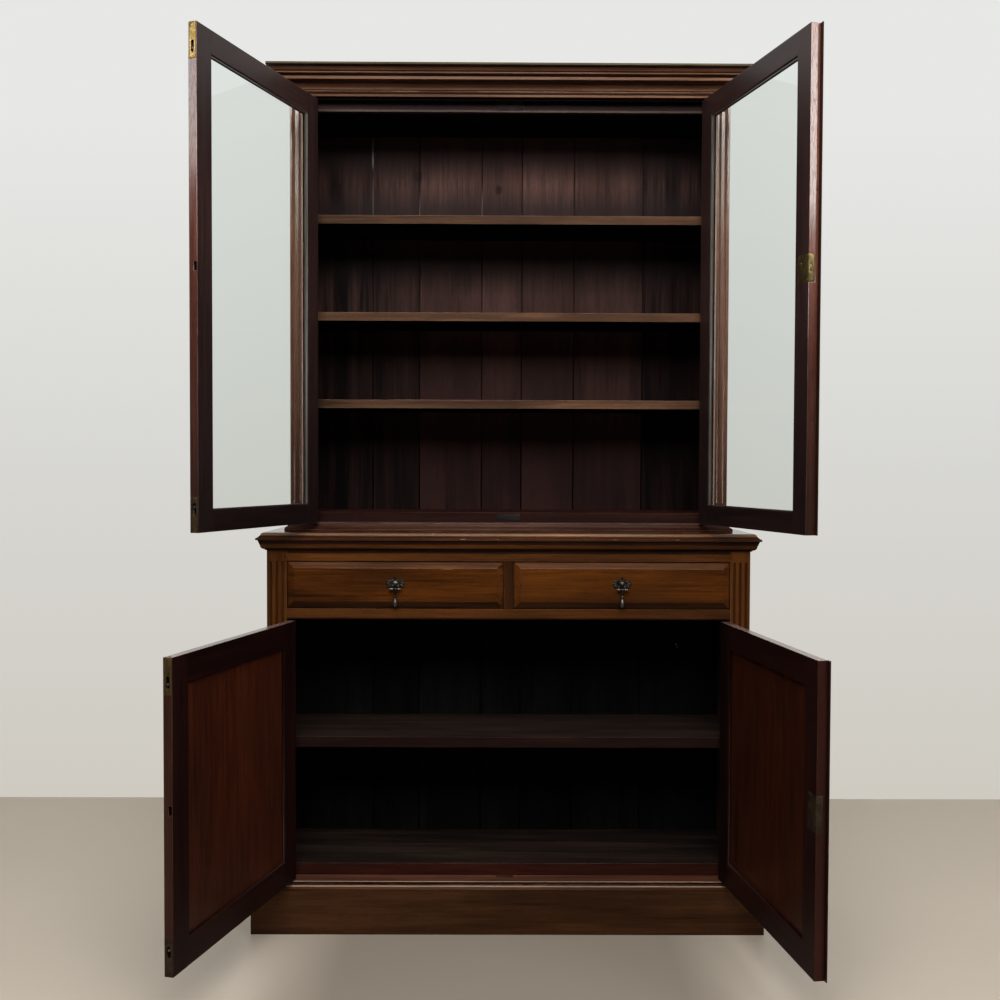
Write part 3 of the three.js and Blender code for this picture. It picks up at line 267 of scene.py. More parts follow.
woodLooks = {
    "baseMahogany": tones((12, 3.6, 0.9), (92, 30, 6), (10, 4, 1.8), (6, 2, 1), (130, 60, 28), (0.34, 0.5), 0.05,
        wear=0.45, under=0.6, nook=1.0, nookReach=0.012),
    "plinthMahogany": tones((10, 3.8, 1.3), (53, 20.7, 7.9), (8, 3.5, 1.8), (6, 2, 1), (120, 65, 35), (0.36, 0.5),
        0.05, wear=0.5, nookReach=0.012),
    "drawerMahogany": tones((10, 2.6, 0.6), (108, 31, 4), (12, 4, 1.3), (8, 2, 1), (90, 36, 12), (0.3, 0.46), 0.04,
        figure=0.45, wear=0.25, cloud=0.6, marks=[((-150, -126.2, 881.5), (20, 10, 1.4), (130, 65, 30)),
        ((-139, -126.2, 883.8), (10, 10, 1), (150, 75, 35))]),
    # the drawer fronts' margins: painted light on the upper one, painted shade on the lower one
    "litBevel": tones((35, 12, 4.5), (115, 46, 19), (20, 7, 3), (12, 4, 2), (160, 75, 35), (0.4, 0.55), 0.04),
    "shadedBevel": tones((6, 1.8, 0.6), (32, 11.5, 3.5), (6, 2, 1), (5, 2, 1), (50, 24, 12), (0.4, 0.55), 0.04),
    "corniceMahogany": tones((30, 10.5, 5.5), (120, 46, 27), (14, 6, 5), (10, 4, 3), (220, 120, 80), (0.3, 0.45),
        0.08, under=0.85, nook=1.0, figure=0.35),
    "shadedMahogany": tones((6, 2, 1), (26, 9.2, 4.5), (5, 2, 1.2), (4, 1.5, 1), (60, 28, 16), (0.4, 0.6), 0.03),
    # painted shade in the quirks of the mouldings and under their members
    "quirkShade": tones((4, 1.2, 0.5), (14, 4.6, 2), (3, 1, 0.6), (3, 1, 0.5), (20, 8, 4), (0.6, 0.8), 0.01),
    "litMahogany": tones((90, 40, 22), (230, 115, 65), (60, 24, 12), (30, 12, 6), (260, 150, 100), (0.24, 0.4), 0.2,
        wear=0.8, under=0.8, nook=0.35, marks=[((-182.5, -142, 966.5), (4, 30, 1.8), (300, 180, 100))]),
    # half lit: painted light on moulding members turned part way to the lamps
    "halfLitMahogany": tones((50, 20, 11), (135, 62, 36), (30, 12, 6), (20, 8, 4), (220, 120, 80), (0.3, 0.45), 0.1,
        wear=0.7, nook=0.35),
    # the plinth bead's lip: worn, with a painted highlight
    "lipHighlightAndWear": tones((160, 100, 70), (400, 270, 200), (100, 60, 40), (60, 40, 30), (460, 340, 260), (0.3, 0.45),
        0.2, wear=0.8, nook=0.2),
    # the counter's top nosing: a painted highlight where it faces the lamps; its mark is a nick
    "litCounterLip": tones((70, 34, 15), (185, 98, 47), (40, 18, 8), (25, 10, 5), (240, 140, 80), (0.26, 0.4), 0.15,
        wear=0.6, nook=0.3, marks=[((-182.5, -137, 968), (4, 30, 1.6), (300, 180, 100))]),
    # the cornice's top fillet: dust with a painted grey sheen
    "dustAndSheenFillet": tones((50, 40, 24), (130, 108, 72), (30, 22, 12), (20, 15, 10), (200, 170, 120), (0.5, 0.7),
        0.04),
    "counterFace": tones((14, 4.1, 1.8), (53, 18.6, 9.8), (9, 3, 1.5), (6, 2, 1), (120, 60, 35), (0.34, 0.5), 0.05,
        marks=[((-110.6, -149, 956.2), (7, 30, 1.4), (240, 150, 85)),
        ((-26.7, -149, 956), (3, 30, 1.2), (220, 130, 75)), ((255, -149, 956.3), (6, 30, 1), (160, 100, 60)),
        ((405, -149, 956), (4, 30, 1), (160, 100, 60))]),
    "pilasterMahogany": tones((28, 11, 6), (110, 44, 26), (16, 7, 5), (12, 5, 4), (300, 170, 130), (0.16, 0.28),
        0.4, nookReach=0.006),
    # the upper pilasters' fronts: a painted sheen, brightest high up
    "pilasterSheen": tones((100, 43, 28), (320, 145, 95), (60, 26, 18), (40, 18, 14), (500, 300, 220), (0.14, 0.26),
        0.8, nook=0.4, nookReach=0.004, fade=(1.05, 1.55, 1.0, (0.4, 0.34, 0.31))),
    # the upper flutes: painted shade, darker than the fronts, with the same painted sheen high up
    "fluteSheenAndShade": tones((55, 24, 16), (200, 90, 60), (35, 15, 10), (25, 12, 8), (300, 170, 120), (0.16, 0.3),
        0.7, nook=0.25, nookReach=0.003, fade=(1.05, 1.55, 1.0, (0.42, 0.36, 0.33))),
    # the base's flutes: painted shade in their hollows
    "shadedFlute": tones((14, 4.2, 1), (52, 15.5, 3.2), (8, 3, 1), (6, 2, 1), (70, 28, 10), (0.4, 0.55), 0.04,
        nook=0.5, nookReach=0.004),
    "doorMahogany": tones((10, 4.6, 4.3), (36, 18, 16), (8, 4, 4), (5, 2, 2), (90, 50, 38), (0.28, 0.42), 0.28,
        fade=(0.93, 1.6, 1.0, (0.28, 0.32, 0.38))),
    "lowerDoorMahogany": tones((5, 1.5, 1.3), (18, 5.6, 4.4), (4, 2, 2), (3, 1, 1), (30, 13, 10), (0.36, 0.48),
        0.05),
    # the top edges of the lower doors: a painted reflection of the pale room above
    "doorTopHighlight": tones((80, 50, 44), (220, 150, 135), (50, 32, 28), (30, 20, 18), (260, 190, 170),
        (0.12, 0.22), 0.85),
    "lowerEdgeMahogany": tones((11, 3.7, 2.4), (41, 14.6, 9), (7, 2.5, 1.6), (5, 2, 1), (80, 35, 25), (0.3, 0.45),
        0.1),
    # the upper doors' meeting edges: a painted highlight, brightest high up
    "doorEdgeMahogany": tones((60, 17, 11), (190, 62, 42), (30, 10, 7), (20, 7, 5), (300, 150, 110), (0.1, 0.2),
        0.65, nook=0.4, fade=(1.0, 1.78, 1.4, (0.15, 0.2, 0.23)),
        marks=[((621, -558, 1690), (20, 20, 6), (50, 16, 10)), ((621, -558, 1775), (20, 20, 3), (60, 18, 12))]),
    # the glazing bead before the glass: rubbed pale, with a painted highlight brightest high up
    "rubbedBeadHighlight": tones((320, 160, 120), (780, 420, 330), (160, 80, 60), (100, 50, 40), (800, 620, 540),
        (0.2, 0.32), 0.5, nook=0.5, nookReach=0.003, wear=0.8, fade=(1.3, 1.8, 1.0, (0.36, 0.3, 0.26))),
    "panelMahogany": tones((14, 2.8, 1.2), (46, 11.5, 5), (9, 2.8, 1.6), (6, 1.5, 1), (100, 40, 20), (0.26, 0.4),
        0.14, figure=0.3, toneGain=0.8, marks=[((-647, -300, 365), (20, 30, 70), (7, 3, 2))]),
    # the head rail: painted shade where the cornice shades it
    "shadedStop": tones((5, 2.5, 2.6), (24, 12.5, 12), (5, 3, 3.5), (4, 2, 2), (120, 80, 70), (0.5, 0.65), 0.04),
    # the lower band of a stop strip, lighter; on the head rail it is painted light below the cornice's shade
    "lighterStopBand": tones((26, 16, 13.5), (75, 50, 42), (15, 9, 8), (10, 6, 5), (130, 90, 75), (0.4, 0.55), 0.05),
    "shadeWood": tones((1.8, 1.5, 1.6), (5.4, 4.4, 4.6), (1, 1, 1), (1, 1, 1), (8, 6, 6), (0.7, 0.9), 0.0),
    # the first mark is a painted shadow at the left end of the lowest shelf
    "shelfWood": tones((20, 8.5, 4.5), (135, 68, 37), (20, 10, 6), (14, 7, 4), (200, 120, 80), (0.5, 0.7), 0.05,
        cloud=0.6, marks=[((-500, -49, 1285.5), (110, 50, 16), (16, 8, 4)),
        ((-335, -49, 1750), (50, 50, 4), (50, 25, 13)), ((120, -49, 1495), (160, 50, 5), (50, 22, 11))]),
    "cupboardWood": tones((6, 4, 3.2), (32, 19.5, 15), (4, 3, 2.5), (3, 2, 2), (40, 24, 20), (0.6, 0.8), 0.03),
    "cupboardLip": tones((7, 2.8, 2.3), (18, 7.6, 6), (4, 2, 2), (3, 1, 1), (40, 18, 14), (0.5, 0.7), 0.03),
    "redStrip": tones((18, 4.2, 2.6), (52, 13.5, 8.5), (10, 3, 2), (6, 2, 1), (90, 40, 30), (0.4, 0.6), 0.04),
    "upperStrip": tones((8, 2.2, 1.5), (32, 9.8, 7), (5, 2, 1.5), (4, 1.5, 1), (50, 25, 20), (0.4, 0.6), 0.04),
    "sillMahogany": tones((18, 6, 3.4), (66, 23.5, 13), (12, 5, 4), (8, 3, 2), (200, 120, 90), (0.3, 0.45), 0.06,
        wear=0.8, under=0.5),
    "ledgeMahogany": tones((28, 10, 5.6), (105, 40, 24), (16, 6, 4), (10, 4, 3), (240, 140, 100), (0.34, 0.5), 0.06,
        wear=0.8),
    "counterTop": tones((20, 6, 3.4), (56, 18.5, 10), (12, 4, 3), (8, 3, 2), (100, 50, 30), (0.08, 0.16), 0.5,
        relief=0.05),
    # the base's black back; its two marks are painted glints
    "baseBack": tones((2, 2, 2), (6, 6, 6), (1.5, 1.5, 1.5), (1, 1, 1), (5, 4, 4), (0.7, 0.9), 0.0,
        marks=[((453.3, 148, 656), (2.2, 20, 2.2), (500, 480, 450)),
        ((456, 148, 649), (1.6, 20, 2), (400, 380, 350))]),
    "rawBack": tones((30, 17, 9.5), (150, 95, 58), (22, 14, 9), (15, 9, 6), (180, 120, 80), (0.65, 0.85), 0.04,
        cloud=0.6),
    # the back boards; of the marks, two are knots, two are painted shadow in bands below the head rail and below the
    # top shelf, and the thin pale lines on the joints are painted highlights
    "backBoards": tones((4, 1.4, 1.3), (94, 47, 38.2), (9, 4.5, 4), (5, 2, 2), (40, 24, 20), (0.5, 0.65), 0.04,
        figure=0.6, fade=(1.08, 1.86, 1.75, (0.2, 0.165, 0.18)),
        marks=[((-241.1, 148, 1899.9), (15, 30, 19), (10, 5, 5)), ((-26.4, 148, 1864.1), (11, 30, 14), (12, 6, 6)),
        ((0, 148, 2025), (3000, 50, 155), (19, 12, 12)), ((0, 148, 1735), (3000, 50, 150), (12, 8, 8)),
        ((-359.9, 149, 1960), (2.6, 30, 50), (300, 280, 260)), ((-359.9, 149, 1835), (2.2, 30, 85), (75, 64, 58)),
        ((-236.2, 149, 1810), (1.6, 30, 60), (100, 80, 72)), ((-71, 149, 1810), (1.6, 30, 60), (100, 80, 72))]),
    "drawerLining": tones((260, 170, 90), (480, 350, 210), (180, 120, 70), (150, 90, 50), (500, 380, 250),
        (0.6, 0.8), 0.1),
    # the glazing bead behind the glass: grey putty with a painted sheen, darker low
    "puttyAndSheen": tones((40, 38, 34), (120, 115, 104), (14, 13, 12), (12, 12, 11), (160, 155, 140), (0.3, 0.45), 0.22,
        nook=0.3, fade=(1.2, 1.8, 1.0, (0.33, 0.29, 0.27))),
}
woods = {name: wood(name, look) for name, look in woodLooks.items()}

metalLooks = {  # dark and light in thousandths, the roughness of bright and dull places, how metallic, and more
    "brass": ((340, 230, 80), (660, 470, 170), (0.3, 0.45), 1.0, {"specks": 0.1}),
    "tarnishedBrass": ((45, 30, 10), (150, 105, 40), (0.4, 0.6), 0.9),
    "dullBrass": ((28, 17, 8), (95, 60, 28), (0.4, 0.6), 0.85),
    "lockBrass": ((50, 36, 14), (200, 150, 62), (0.35, 0.6), 0.9),
    "darkBrass": ((10, 6, 4), (42, 28, 16), (0.45, 0.65), 0.4, {"specular": 0.1}),
    "bronze": ((5, 4, 3.5), (42, 34, 28), (0.24, 0.42), 0.85),
    "rubbedBronze": ((24, 20, 17), (140, 125, 110), (0.2, 0.36), 0.9),
    "keepIron": ((4, 3, 3), (14, 10, 10), (0.5, 0.7), 0.1, {"specular": 0.1}),
    "steel": ((50, 45, 40), (240, 220, 200), (0.35, 0.6), 1.0),
}


def metal(name, dark, light, gloss, metallic, more=()):
    look = {"specks": 0.35, "specular": 0.5, **dict(more)}
    material, tree = newTree(name)
    place = objectPlace(tree)
    patina = between(tree, noise(tree, place, (1, 1, 1), 55, 5, 0.6), 0.34, 0.66)
    specks = between(tree, noise(tree, place, (1, 1, 1), 600, 2, 0.5), 0.5, 0.7)
    dark, light = thousandths(dark), thousandths(light)
    colour = blendColours(tree, patina, dark, light)
    colour = blendColours(tree, times(tree, specks, look["specks"]), colour, dark)
    rough = between(tree, patina, 0, 1, gloss[1], gloss[0])
    bump = put(tree, "Bump", Height=patina, Strength=0.15, Distance=0.0004)
    finishTree(tree, put(tree, "BsdfPrincipled", Base_Color=colour, Roughness=rough, Normal=bump.outputs[0],
                         Metallic=metallic, Specular_IOR_Level=look["specular"]))
    return material


finishes = {**woods, **{name: metal(name, *look) for name, look in metalLooks.items()}}

glassLook = {"clear": (0.95, 0.975, 0.96), "shine": (0.9, 0.95, 0.93), "roughness": 0.02, "index": 1.45,
             "waves": 0.06}


def oldGlass(look):
    material, tree = newTree("oldGlass")
    waves = noise(tree, objectPlace(tree), (1, 1, 0.35), 9, 2, 0.5)
    bump = put(tree, "Bump", Height=waves, Strength=look["waves"], Distance=0.004).outputs[0]
    clear = put(tree, "BsdfTransparent", Color=look["clear"])
    shine = put(tree, "BsdfGlossy", Normal=bump, Color=look["shine"], Roughness=look["roughness"])
    rim = put(tree, "Fresnel", Normal=bump, IOR=look["index"])
    leaving = put(tree, "NewGeometry").outputs["Backfacing"]
    share = times(tree, rim.outputs[0], sums(tree, "SUBTRACT", 1.0, leaving))
    finishTree(tree, put(tree, "MixShader", i0=share, i1=clear.outputs[0], i2=shine.outputs[0]))
    return material


glass = oldGlass(glassLook)


# Stage
stageLook = {
    "wallAt": 0.925, "halfWidth": 6.0, "height": 5.0, "front": -6.0, "wall": (0.72, 0.715, 0.70),
    "wallHigh": (0.80, 0.80, 0.785), "wallMid": (0.68, 0.675, 0.645), "wallLow": (0.62, 0.59, 0.53),
    "wallHeights": (1.1, 2.3), "floor": (0.43, 0.375, 0.31), "floorShadow": (0.10, 0.083, 0.066),
    "floorRoughness": 0.4, "fill": (0.95, 0.97, 1.0), "fillStrength": 0.02, "backdrop": (0.78, 0.78, 0.76),
}


def paleWall(look):
    # the wall is seen as a glowing colour with a painted gradient of light, brighter high and warmer low, and lights
    # the room as any pale wall would
    material, tree = newTree("paleWall")
    up = height(tree, objectPlace(tree))
    middle, top = look["wallHeights"]
    colour = blendColours(tree, between(tree, up, 0.0, middle), look["wallLow"], look["wallMid"])
    colour = blendColours(tree, between(tree, up, middle, top), colour, look["wallHigh"])
    seen = put(tree, "Emission", Color=colour)
    lit = put(tree, "BsdfDiffuse", Color=look["wall"])
    rays = put(tree, "LightPath").outputs
    share = plus(tree, rays["Is Camera Ray"], rays["Is Glossy Ray"])
    share = plus(tree, share, rays["Is Transmission Ray"], clamp=True)
    shown = put(tree, "MixShader", i0=share, i1=lit.outputs[0], i2=seen.outputs[0])
    behind = put(tree, "NewGeometry").outputs["Backfacing"]
    gone = put(tree, "BsdfTransparent")
    finishTree(tree, put(tree, "MixShader", i0=behind, i1=shown.outputs[0], i2=gone.outputs[0]))
    return material


def paleFloor(look):
    # a plain pale floor, with a painted shadow before the cabinet, between the doors
    material, tree = newTree("paleFloor")
    parts = put(tree, "SeparateXYZ", Vector=objectPlace(tree)).outputs
    aside = between(tree, sums(tree, "ABSOLUTE", parts[0]), 0.38, 0.60, 1.0, 0.0)
    ahead = between(tree, parts[1], -1.5, -0.5, 0.0, 1.0)
    colour = blendColours(tree, times(tree, aside, times(tree, ahead, 0.62)), look["floor"], look["floorShadow"])
    finishTree(tree, put(tree, "BsdfPrincipled", Base_Color=colour, Roughness=look["floorRoughness"]))
    return material


def stageSheet(name, size, move, turn, material):
    bm = bmesh.new()
    bmesh.ops.create_grid(bm, x_segments=1, y_segments=1, size=1)
    bmesh.ops.scale(bm, vec=(*size, 1), verts=bm.verts)
    bmesh.ops.transform(bm, matrix=Matrix.Translation(move) @ Matrix.Rotation(turn, 4, "X"), verts=bm.verts)
    meshPiece(name, bm, [material])


def studioWorld(look):
    world = bpy.data.worlds.new("studio")
    world.use_nodes = True
    scene.world = world
    tree = world.node_tree
    tree.nodes.clear()
    rays = put(tree, "LightPath").outputs
    seen = plus(tree, rays["Is Camera Ray"], rays["Is Transmission Ray"], clamp=True)
    fill = put(tree, "Background", Color=look["fill"], Strength=look["fillStrength"])
    backdrop = put(tree, "Background", Color=look["backdrop"])
    both = put(tree, "MixShader", i0=seen, i1=fill.outputs[0], i2=backdrop.outputs[0])
    finishTree(tree, both, "OutputWorld")


wide, deep, tall = stageLook["halfWidth"], (stageLook["wallAt"] - stageLook["front"]) / 2, stageLook["height"] / 2
stageSheet("paleFloor", (wide, deep), (0, stageLook["front"] + deep, 0), 0, paleFloor(stageLook))
stageSheet("paleWall", (wide, tall), (0, stageLook["wallAt"], tall), math.radians(90), paleWall(stageLook))
studioWorld(stageLook)
print("stage, lamps and finishes made")

# Doors: where each hangs, and its own axes
doorLooks = {  # hung on the right, the stiles' width, and how light each board is
    "upper_door_left": (False, 0.053, {"hangingStile": 0.3, "meetingStile": 0.0, "topRail": 0.05,
                                       "bottomRail": -0.1}),
    "upper_door_right": (True, 0.053, {"hangingStile": 0.45, "meetingStile": 0.45, "topRail": 0.2,
                                       "bottomRail": 0.25}),
    # the lower doors' hanging stiles, and the left door's top rail, are painted darker: shade near the cabinet
    "lower_door_left": (False, 0.060, {"hangingStile": -0.3, "meetingStile": 0.2, "topRail": -0.3,
                                       "bottomRail": 0.2, "panel": 0.33}),
    "lower_door_right": (True, 0.060, {"hangingStile": -0.4, "meetingStile": 0.8, "topRail": 0.3,
                                       "bottomRail": 0.7, "panel": 0.05}),
}


def doorAxes(name):
    # a matrix that takes a door's own place (from the pin, into the cabinet, up) to the frame
    joint = swings[f"{name}_swing"]
    angle = math.radians(-joint["range_deg"][0])
    side = -1 if doorLooks[name][0] else 1
    along = Vector((side * math.cos(angle), -math.sin(angle), 0))
    inward = Vector((side * math.sin(angle), math.cos(angle), 0))
    pin = Vector((joint["pos_m"][0], joint["pos_m"][1], 0))
    return Matrix.Translation(pin) @ Matrix((along, inward, Vector((0, 0, 1)))).transposed().to_4x4()


def ownCorners(nodeName, inverse):
    # the lowest and highest place of a node in a door's own axes
    places = [inverse @ v.co for v in nodes[nodeName].data.vertices]
    return Vector([min(part) for part in zip(*places)]), Vector([max(part) for part in zip(*places)])


# Woodwork: each wooden node again, with merged faces, eased arrises and its grain board by board.
# A test of a face gets its middle, at, and its normal, out.
plainAxes = {
    "x": Matrix(((1, 0, 0), (0, 1, 0), (0, 0, 1))),
    "y": Matrix(((0, 1, 0), (1, 0, 0), (0, 0, 1))),
    "z": Matrix(((0, 0, 1), (1, 0, 0), (0, 1, 0))),
}
narrowFace = {"worn": 0.0012, "smooth": 0.009}


def mergedCopy(nodeName):
    bm = bmesh.new()
    bm.from_mesh(nodes[nodeName].data)
    bmesh.ops.remove_doubles(bm, verts=bm.verts, dist=1e-5)
    bmesh.ops.dissolve_limit(bm, angle_limit=math.radians(0.4), verts=bm.verts, edges=bm.edges)
    bm.normal_update()
    return bm


def sawAlong(bm, cuts, reach=1e-5):
    # cuts the mesh where boards meet, without taking anything away
    for normal, point in cuts:
        bmesh.ops.bisect_plane(bm, geom=bm.verts[:] + bm.edges[:] + bm.faces[:], plane_co=point,
                               plane_no=normal, dist=reach)


def bevel(bm, edges, width, segments=2):
    bmesh.ops.bevel(bm, geom=edges, offset=width, segments=segments, profile=0.5, affect="EDGES", material=-1)


def easeArrises(bm, width, keen=40):
    chosen = [edge for edge in bm.edges if len(edge.link_faces) == 2 and edge.calc_length() > 4 * width
              and edge.calc_face_angle_signed(0) > math.radians(keen)]
    bevel(bm, chosen, width)


def narrowness(face):
    longest = max(edge.calc_length() for edge in face.edges)
    return face.calc_area() / max(longest, 1e-9)


def layGrain(bm, chooseBoard, seed, given):
    place = bm.loops.layers.float_vector.new("boardPlace")
    tone = bm.loops.layers.float.new("boardTone")
    wear = bm.loops.layers.float.new("edgeWear")
    boards = {}
    for face in bm.faces:
        key, axes = chooseBoard(face.calc_center_median(), face.normal)
        if key not in boards:
            luck = random.Random(f"{seed} {key}")
            offset = Vector((luck.uniform(0, 40), luck.uniform(0, 9), luck.uniform(0, 9)))
            boards[key] = (offset, given[key] if key in given else luck.uniform(-0.25, 0.25))
        offset, lift = boards[key]
        worn = 1.0 if narrowness(face) < narrowFace["worn"] else 0.0
        for loop in face.loops:
            loop[place] = axes @ loop.vert.co + offset
            loop[tone] = lift
            loop[wear] = worn
        face.smooth = narrowness(face) < narrowFace["smooth"]


def finishPiece(name, bm, body, chosen, nodesReplaced=()):
    piece = meshPiece(name, bm, [finishes[finish] for finish in chosen])
    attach(piece, body)
    if nodesReplaced:
        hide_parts(*nodesReplaced)
    return piece


def woodwork(name, nodeName, finish, board, arris=0.0008, cuts=(), boardTones=None, others=(), body="cabinet"):
    # board: the axis of its one board, or what chooses a board for a face; others: more finishes, each with
    # the test that says which faces it covers
    bm = mergedCopy(nodeName)
    sawAlong(bm, cuts)
    for index, (other, covers) in enumerate(others, 1):
        for face in bm.faces:
            if covers(face.calc_center_median(), face.normal):
                face.material_index = index
    easeArrises(bm, arris)
    chooseBoard = board if callable(board) else lambda at, out: ("board", plainAxes[board])
    layGrain(bm, chooseBoard, name, boardTones or {})
    finishPiece(name, bm, body, [finish] + [other for other, covers in others], [nodeName])


def sawCuts(axis, places):
    return [(Vector(axis), Vector(axis) * at) for at in places]


def layered(bottom, members, where):
    # the cuts between a moulding's members and their finishes, for the faces that pass the test where;
    # each member has its top above the bottom, in mm, and its finish, from below
    heights = [bottom - 1] + [bottom + top / 1000 for top, finish in members]
    layers = [(finish, lambda at, out, low=low, high=high: low < at.z <= high + 0.0001 and where(at, out))
              for low, high, (top, finish) in zip(heights, heights[1:], members)]
    return sawCuts((0, 0, 1), heights[1:-1]), layers


def roundThreeSides(half, front):
    # mouldings and boards that run along the front and return along the sides
    def choose(at, out):
        if abs(at.x) - half > front - at.y:
            return ("left" if at.x < 0 else "right"), plainAxes["y"]
        return "front", plainAxes["x"]
    return choose


def turnedTo(axis, sign):
    return lambda at, out: sign * out[axis] > 0.5


facesUp, facesDown, facesFront = turnedTo(2, 1), turnedTo(2, -1), turnedTo(1, -1)

corniceBox, counterBox, floorBox, railBox, faceFrameBox, drawerFrontBox = map(
    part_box, ("cornice", "counter_top", "upper_bottom", "upper_head_rail", "base_face_frame", "drawer_front_left"))
upperHalf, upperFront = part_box("upper_side_right")[1].x, railBox[0].y
baseHalf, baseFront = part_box("base_side_right")[1].x, faceFrameBox[0].y
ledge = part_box("plinth")[1].z
stripAt, stripFoot = -0.056, floorBox[0].z + 0.0225  # the stop strip on the upper floor

# painted light and shade: each moulding's members get lit, half-lit and shaded copies of the mahogany, and painted
# shade in the quirks, by how they face the lamps
mouldings = {
    "cornice": ((1.9, "shadedMahogany"), (7.6, "litMahogany"), (11.9, "shadedMahogany"), (15.1, "litMahogany"),
                (17.6, "shadedMahogany"), (22.6, "litMahogany"), (28.5, "halfLitMahogany"), (30.2, "corniceMahogany"),
                (36.2, "quirkShade"), (43.4, "litMahogany"), (48.2, "quirkShade"), (51.4, "litMahogany"),
                (55.0, "shadedMahogany"), (61.0, "halfLitMahogany"), (63.0, "corniceMahogany"), (65.4, "quirkShade"),
                (70.5, "dustAndSheenFillet")),
    "counter": ((2.5, "shadedMahogany"), (5.0, "quirkShade"), (15.0, "baseMahogany"), (25.0, "shadedMahogany"),
                (29.9, "counterFace"), (31.5, "baseMahogany"), (34.2, "shadedMahogany"), (36.8, "baseMahogany"),
                (41.3, "litCounterLip"), (43.5, "halfLitMahogany")),
    "plinth": ((109.9, "plinthMahogany"), (111.6, "halfLitMahogany"), (115.6, "baseMahogany"), (119.2, "lipHighlightAndWear"),
               (125.1, "shadedMahogany"), (126.2, "lipHighlightAndWear")),
    "sill": ((5.4, "sillMahogany"), (11.9, "counterFace"), (20.4, "sillMahogany")),
}


def onCounterTop(at, out):
    return at.z > counterBox[1].z - 0.0005


def counterBoard(at, out):
    side, axes = roundThreeSides(baseHalf, baseFront)(at, out)
    return ("top", plainAxes["x"]) if onCounterTop(at, out) else (side, axes)


cuts, layers = layered(corniceBox[0].z, mouldings["cornice"], lambda at, out: abs(out.z) < 0.99 or out.z < 0)
woodwork("corniceMoulding", "cornice", "corniceMahogany",
         roundThreeSides(upperHalf, upperFront), 0.0003, cuts, others=layers)
cuts, layers = layered(counterBox[0].z, mouldings["counter"],
                       lambda at, out: at.y < baseFront or abs(at.x) > baseHalf)
woodwork("counter", "counter_top", "baseMahogany", counterBoard, 0.0004, cuts,
         others=layers + [("counterTop", lambda at, out: onCounterTop(at, out) and out.z > 0.9)])
cuts, layers = layered(0, mouldings["plinth"], lambda at, out: abs(out.z) < 0.98)
woodwork("plinthBoards", "plinth", "plinthMahogany",
         roundThreeSides(baseHalf, baseFront), 0.0006, cuts,
         others=layers + [("ledgeMahogany", lambda at, out: at.z > ledge - 0.0003)])


# Depths behind the front of a side board: its face, its flutes and its whole pilaster
faceDepth, fluteDepth, pilasterDepth = 0.0004, 0.006, 0.02


def onHinge(front):
    return lambda at, out: at.y < front - 0.0003


def onFlutes(front):
    return lambda at, out: front + faceDepth < at.y < front + fluteDepth and out.y < -0.05


def onPilaster(at, out):
    return at.y < upperFront + faceDepth or (at.y < upperFront + fluteDepth and abs(out.x) > 0.05
                                             and abs(at.x) < upperHalf - 0.001)


def inside(half, front):
    # the inner face of a side board, behind its pilaster
    return lambda at, out: at.y > front + pilasterDepth and abs(at.x) < half


for side in ("left", "right"):
    woodwork(f"upperSide_{side}", f"upper_side_{side}", "pilasterMahogany", "z",
             others=[("bronze", onHinge(upperFront)), ("fluteSheenAndShade", onFlutes(upperFront)),
                     ("pilasterSheen", onPilaster), ("backBoards", inside(upperHalf - 0.017, upperFront))])
    woodwork(f"baseSide_{side}", f"base_side_{side}", "baseMahogany", "z",
             others=[("bronze", onHinge(baseFront)), ("shadedFlute", onFlutes(baseFront)),
                     ("cupboardWood", inside(baseHalf - 0.019, baseFront))],
             boardTones={"board": 0.3 if side == "left" else 0.8})


def behindStrip(at, out):
    return at.y > stripAt and abs(at.x) < upperHalf - 0.02


cuts, layers = layered(floorBox[0].z, mouldings["sill"], lambda at, out: at.y < stripAt)
woodwork("upperFloor", "upper_bottom", "sillMahogany",
         roundThreeSides(upperHalf, upperFront), cuts=cuts + sawCuts((0, 0, 1), [stripFoot]),
         others=layers + [("upperStrip", lambda at, out: behindStrip(at, out) and at.z > stripFoot),
                          ("lighterStopBand", lambda at, out: behindStrip(at, out) and at.z < stripFoot)])
stopLip = railBox[0].z + 0.005
# the head rail: painted shade under the cornice, with a band of painted light at its foot
woodwork("headRail", "upper_head_rail", "shadedStop", "x",
         cuts=sawCuts((0, 0, 1), [stopLip, corniceBox[0].z + 0.002]),
         others=[("lighterStopBand", lambda at, out: at.z < stopLip and out.y < -0.3),
                 ("shadeWood", lambda at, out: at.y < upperFront + 0.0005 or
                  (facesDown(at, out) and at.y < upperFront + 0.019))])
woodwork("topBoard", "upper_top", "shadeWood", "x", others=[("rawBack", facesUp)])
woodwork("baseFloor", "base_bottom", "cupboardWood", "x",
         boardTones={"board": -0.45}, others=[("redStrip", facesFront)])
woodwork("cupboardShelf", "cupboard_shelf", "cupboardWood", "x",
         others=[("cupboardLip", facesFront), ("shadeWood", facesDown)])
woodwork("dustboard", "drawer_dustboard", "drawerLining", "x",
         others=[("shadeWood", facesDown)])
for index in (1, 2, 3):
    woodwork(f"bookshelf_{index}.board", f"bookshelf_{index}", "shelfWood", "x",
             others=[("shadeWood", facesDown)])

backLook = {"joints": (-0.669, -0.439, -0.132, 0.065, 0.322, 0.662),  # shares of half the width
            "tones": (-0.58, -0.1, 0.62, 0.85, 0.75, 0.6, -0.4)}
backJoints = [share * upperHalf for share in backLook["joints"]]
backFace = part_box("upper_back")[0].y + 0.002


def backBoard(at, out):
    return sum(at.x > joint for joint in backJoints), plainAxes["z"]


def outside(at, out):
    return at.y > backFace and out.y > 0.5


